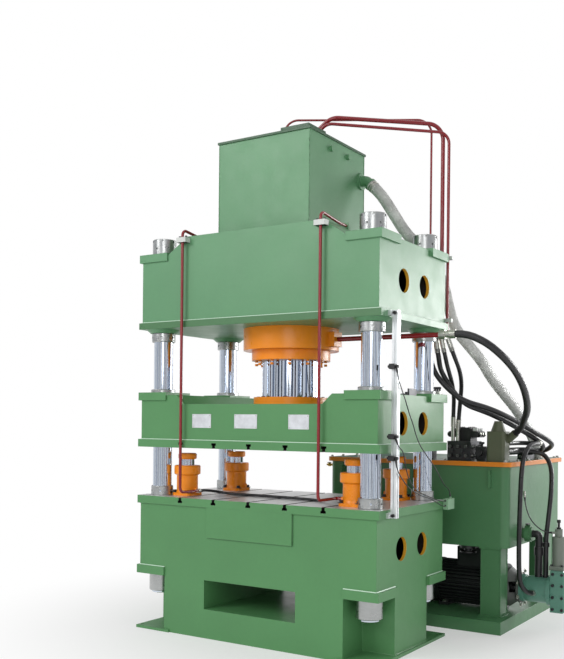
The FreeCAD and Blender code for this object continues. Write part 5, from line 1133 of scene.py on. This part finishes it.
class PRESS_OT_unit_trim(bpy.types.Operator):
    """Bolts of the tank rim, motor, bell, pump and relief valve, and the drain"""

    bl_idname = "press.unit_trim"
    bl_label = "Power unit trim"

    def execute(self, context):
        long_sides, short_sides = (0.925, 2.272), (-0.19, 1.333)
        rim = [(x, y, LID_TOP) for x in (-0.17, 0.08, 0.33, 0.58, 0.83, 1.08, 1.31) for y in long_sides]
        rim += [(x, y, LID_TOP) for x in short_sides for y in (1.15, 1.4, 1.65, 1.9, 2.1)]
        bolt_group("rim_bolts", rim, UP, 0.02, "zinc", hex_head)
        head = [(x, 1.2148, z) for x in (1.59, 1.66) for z in (0.15, 0.24, 0.33, 0.415)]
        bolt_group("pump_head_bolts", head, FRONT, 0.022, "dark steel")
        bell = [(1.3302, PUMP_Y + y, PUMP_Z + z) for y, z in bolt_circle(0.134, 8, 0.5)]
        bolt_group("bell_bolts", bell, RIGHT, 0.02, "zinc", hex_head)
        foot = [(MOTOR_X + a * 0.2, PUMP_Y + b * 0.12, 0.1192) for a, b in both()]
        bolt_group("motor_foot_bolts", foot, UP, 0.024, "zinc", hex_head)
        box = [(MOTOR_X + a * 0.085, PUMP_Y + b * 0.075, 0.5682) for a, b in both()]
        bolt_group("terminal_box_bolts", box, UP, 0.012, "zinc")
        valve = [(RELIEF_X + a * 0.04, PUMP_Y + b * 0.047, 0.4702) for a, b in both()]
        bolt_group("relief_valve_bolts", valve, UP, 0.018, "dark steel")
        adjuster = [(0, 0), (0.017, 0), (0.017, 0.012), (0.009, 0.014), (0.009, 0.045), (0.014, 0.05),
                    (0.014, 0.07), (0, 0.072)]
        drain = [(0.062, 0), (0.062, 0.01), (0.05, 0.016), (0, 0.016)]
        plugs = bmesh.new()
        turn_profile(plugs, adjuster, aim((RELIEF_X, PUMP_Y, 0.75), UP), 20)
        turn_profile(plugs, drain, aim((*DRAIN, 0.567), DOWN), 32)
        keep_piece("adjuster_and_drain", plugs, "black plastic")
        tap, handle = bmesh.new(), bmesh.new()
        tap_form = [(0, 0), (0.014, 0), (0.014, 0.01), (0.009, 0.012), (0.009, 0.03), (0.015, 0.032),
                    (0.015, 0.05), (0.008, 0.052), (0.008, 0.066), (0, 0.066)]
        turn_profile(tap, tap_form, aim((-0.1905, 0.99, 1.19), LEFT), 20)
        box_piece(handle, (-0.236, 0.955, 1.206), (-0.222, 1.008, 1.211), 0.001)
        keep_piece("sample_tap", tap, "brass")
        keep_piece("sample_tap_handle", handle, "black plastic")
        return {"FINISHED"}


class PRESS_OT_valve_bank(bpy.types.Operator):
    """Coils, plugs, covers and screws of the valves on the lid"""

    bl_idname = "press.valve_bank"
    bl_label = "Valve bank"

    def execute(self, context):
        def span(start, side, near, far):
            """The low and high of a length that is set off to one side."""
            return sorted((start + side * near, start + side * far))

        coils, plugs, ends, screws = bmesh.new(), bmesh.new(), bmesh.new(), bmesh.new()
        coil_start, coil_low, coil_top, plug_top = 0.062, 1.440, 1.488, 1.512
        end_form = [(0, 0), (0.0145, 0), (0.0145, 0.007), (0.009, 0.009), (0, 0.009)]
        for y in VALVES_Y:
            for side in (-1, 1):
                x = VALVES_X + side * coil_start
                x0, x1 = span(x, side, 0, 0.056)
                box_piece(coils, (x0, y - 0.0215, coil_low), (x1, y + 0.0215, coil_top), 0.003)
                x0, x1 = span(x, side, 0.012, 0.046)
                box_piece(plugs, (x0, y - 0.014, coil_top), (x1, y + 0.014, plug_top), 0.003)
                turn_profile(ends, end_form, aim((VALVES_X + side * 0.1295, y, 1.464), (side, 0, 0)), 6)
            for a, b in both():
                socket_head(screws, (VALVES_X + a * 0.042, y + b * 0.014, 1.517), UP, 0.008)
        keep_piece("valve_coils", coils, "black plastic")
        keep_piece("valve_plugs", plugs, "clamp white")
        keep_piece("valve_ends", ends, "zinc")
        keep_piece("valve_screws", screws, "dark steel")
        rows = (1.30, 1.37)
        caps = [(0.865 + 0.065 * i, 0.9488, z) for i in range(3) for z in rows]
        bolt_group("manifold_plugs", caps, FRONT, 0.026, "plug steel")
        side = [(1.0252, y, z) for y in (0.985, 1.04, 1.15) for z in rows]
        bolt_group("manifold_side_plugs", side, RIGHT, 0.026, "plug steel")
        block = [(1.215, 1.5698, z) for z in (1.285, 1.33)]
        bolt_group("return_block_plugs", block, FRONT, 0.022, "zinc")
        return {"FINISHED"}


class PRESS_PT_panel(bpy.types.Panel):
    """Colours, sizes and the steps of the finish, in order"""

    bl_label = "Hydraulic press"
    bl_idname = "PRESS_PT_panel"
    bl_space_type = "VIEW_3D"
    bl_region_type = "UI"
    bl_category = "Press"

    def draw(self, context):
        layout = self.layout
        for kit in (paint_kit(), trim_kit(), studio_kit()):
            box = layout.box()
            for name in kit.__annotations__:
                box.prop(kit, name)
        for step in STEPS:
            layout.operator(step.bl_idname)


KITS = (PressPaint, PressTrim, PressStudio)
STEPS = (
    PRESS_OT_studio, PRESS_OT_hoses, PRESS_OT_frame_paint, PRESS_OT_bars, PRESS_OT_cylinder, PRESS_OT_pipes,
    PRESS_OT_slide_trim, PRESS_OT_unit_paint, PRESS_OT_welds, PRESS_OT_bolts, PRESS_OT_plates,
    PRESS_OT_switch_parts, PRESS_OT_hose_trim, PRESS_OT_unit_trim, PRESS_OT_valve_bank)
CLASSES = KITS + STEPS + (PRESS_PT_panel,)


def register():
    for item in CLASSES:
        bpy.utils.register_class(item)
    bpy.types.Scene.press_paint = bpy.props.PointerProperty(type=PressPaint)
    bpy.types.Scene.press_trim = bpy.props.PointerProperty(type=PressTrim)
    bpy.types.Scene.press_studio = bpy.props.PointerProperty(type=PressStudio)


def unregister():
    del bpy.types.Scene.press_studio
    del bpy.types.Scene.press_trim
    del bpy.types.Scene.press_paint
    for item in reversed(CLASSES):
        bpy.utils.unregister_class(item)


def main():
    register()
    for step in STEPS:
        family, action = step.bl_idname.split(".")
        getattr(getattr(bpy.ops, family), action)()


if __name__ == "__main__":
    main()
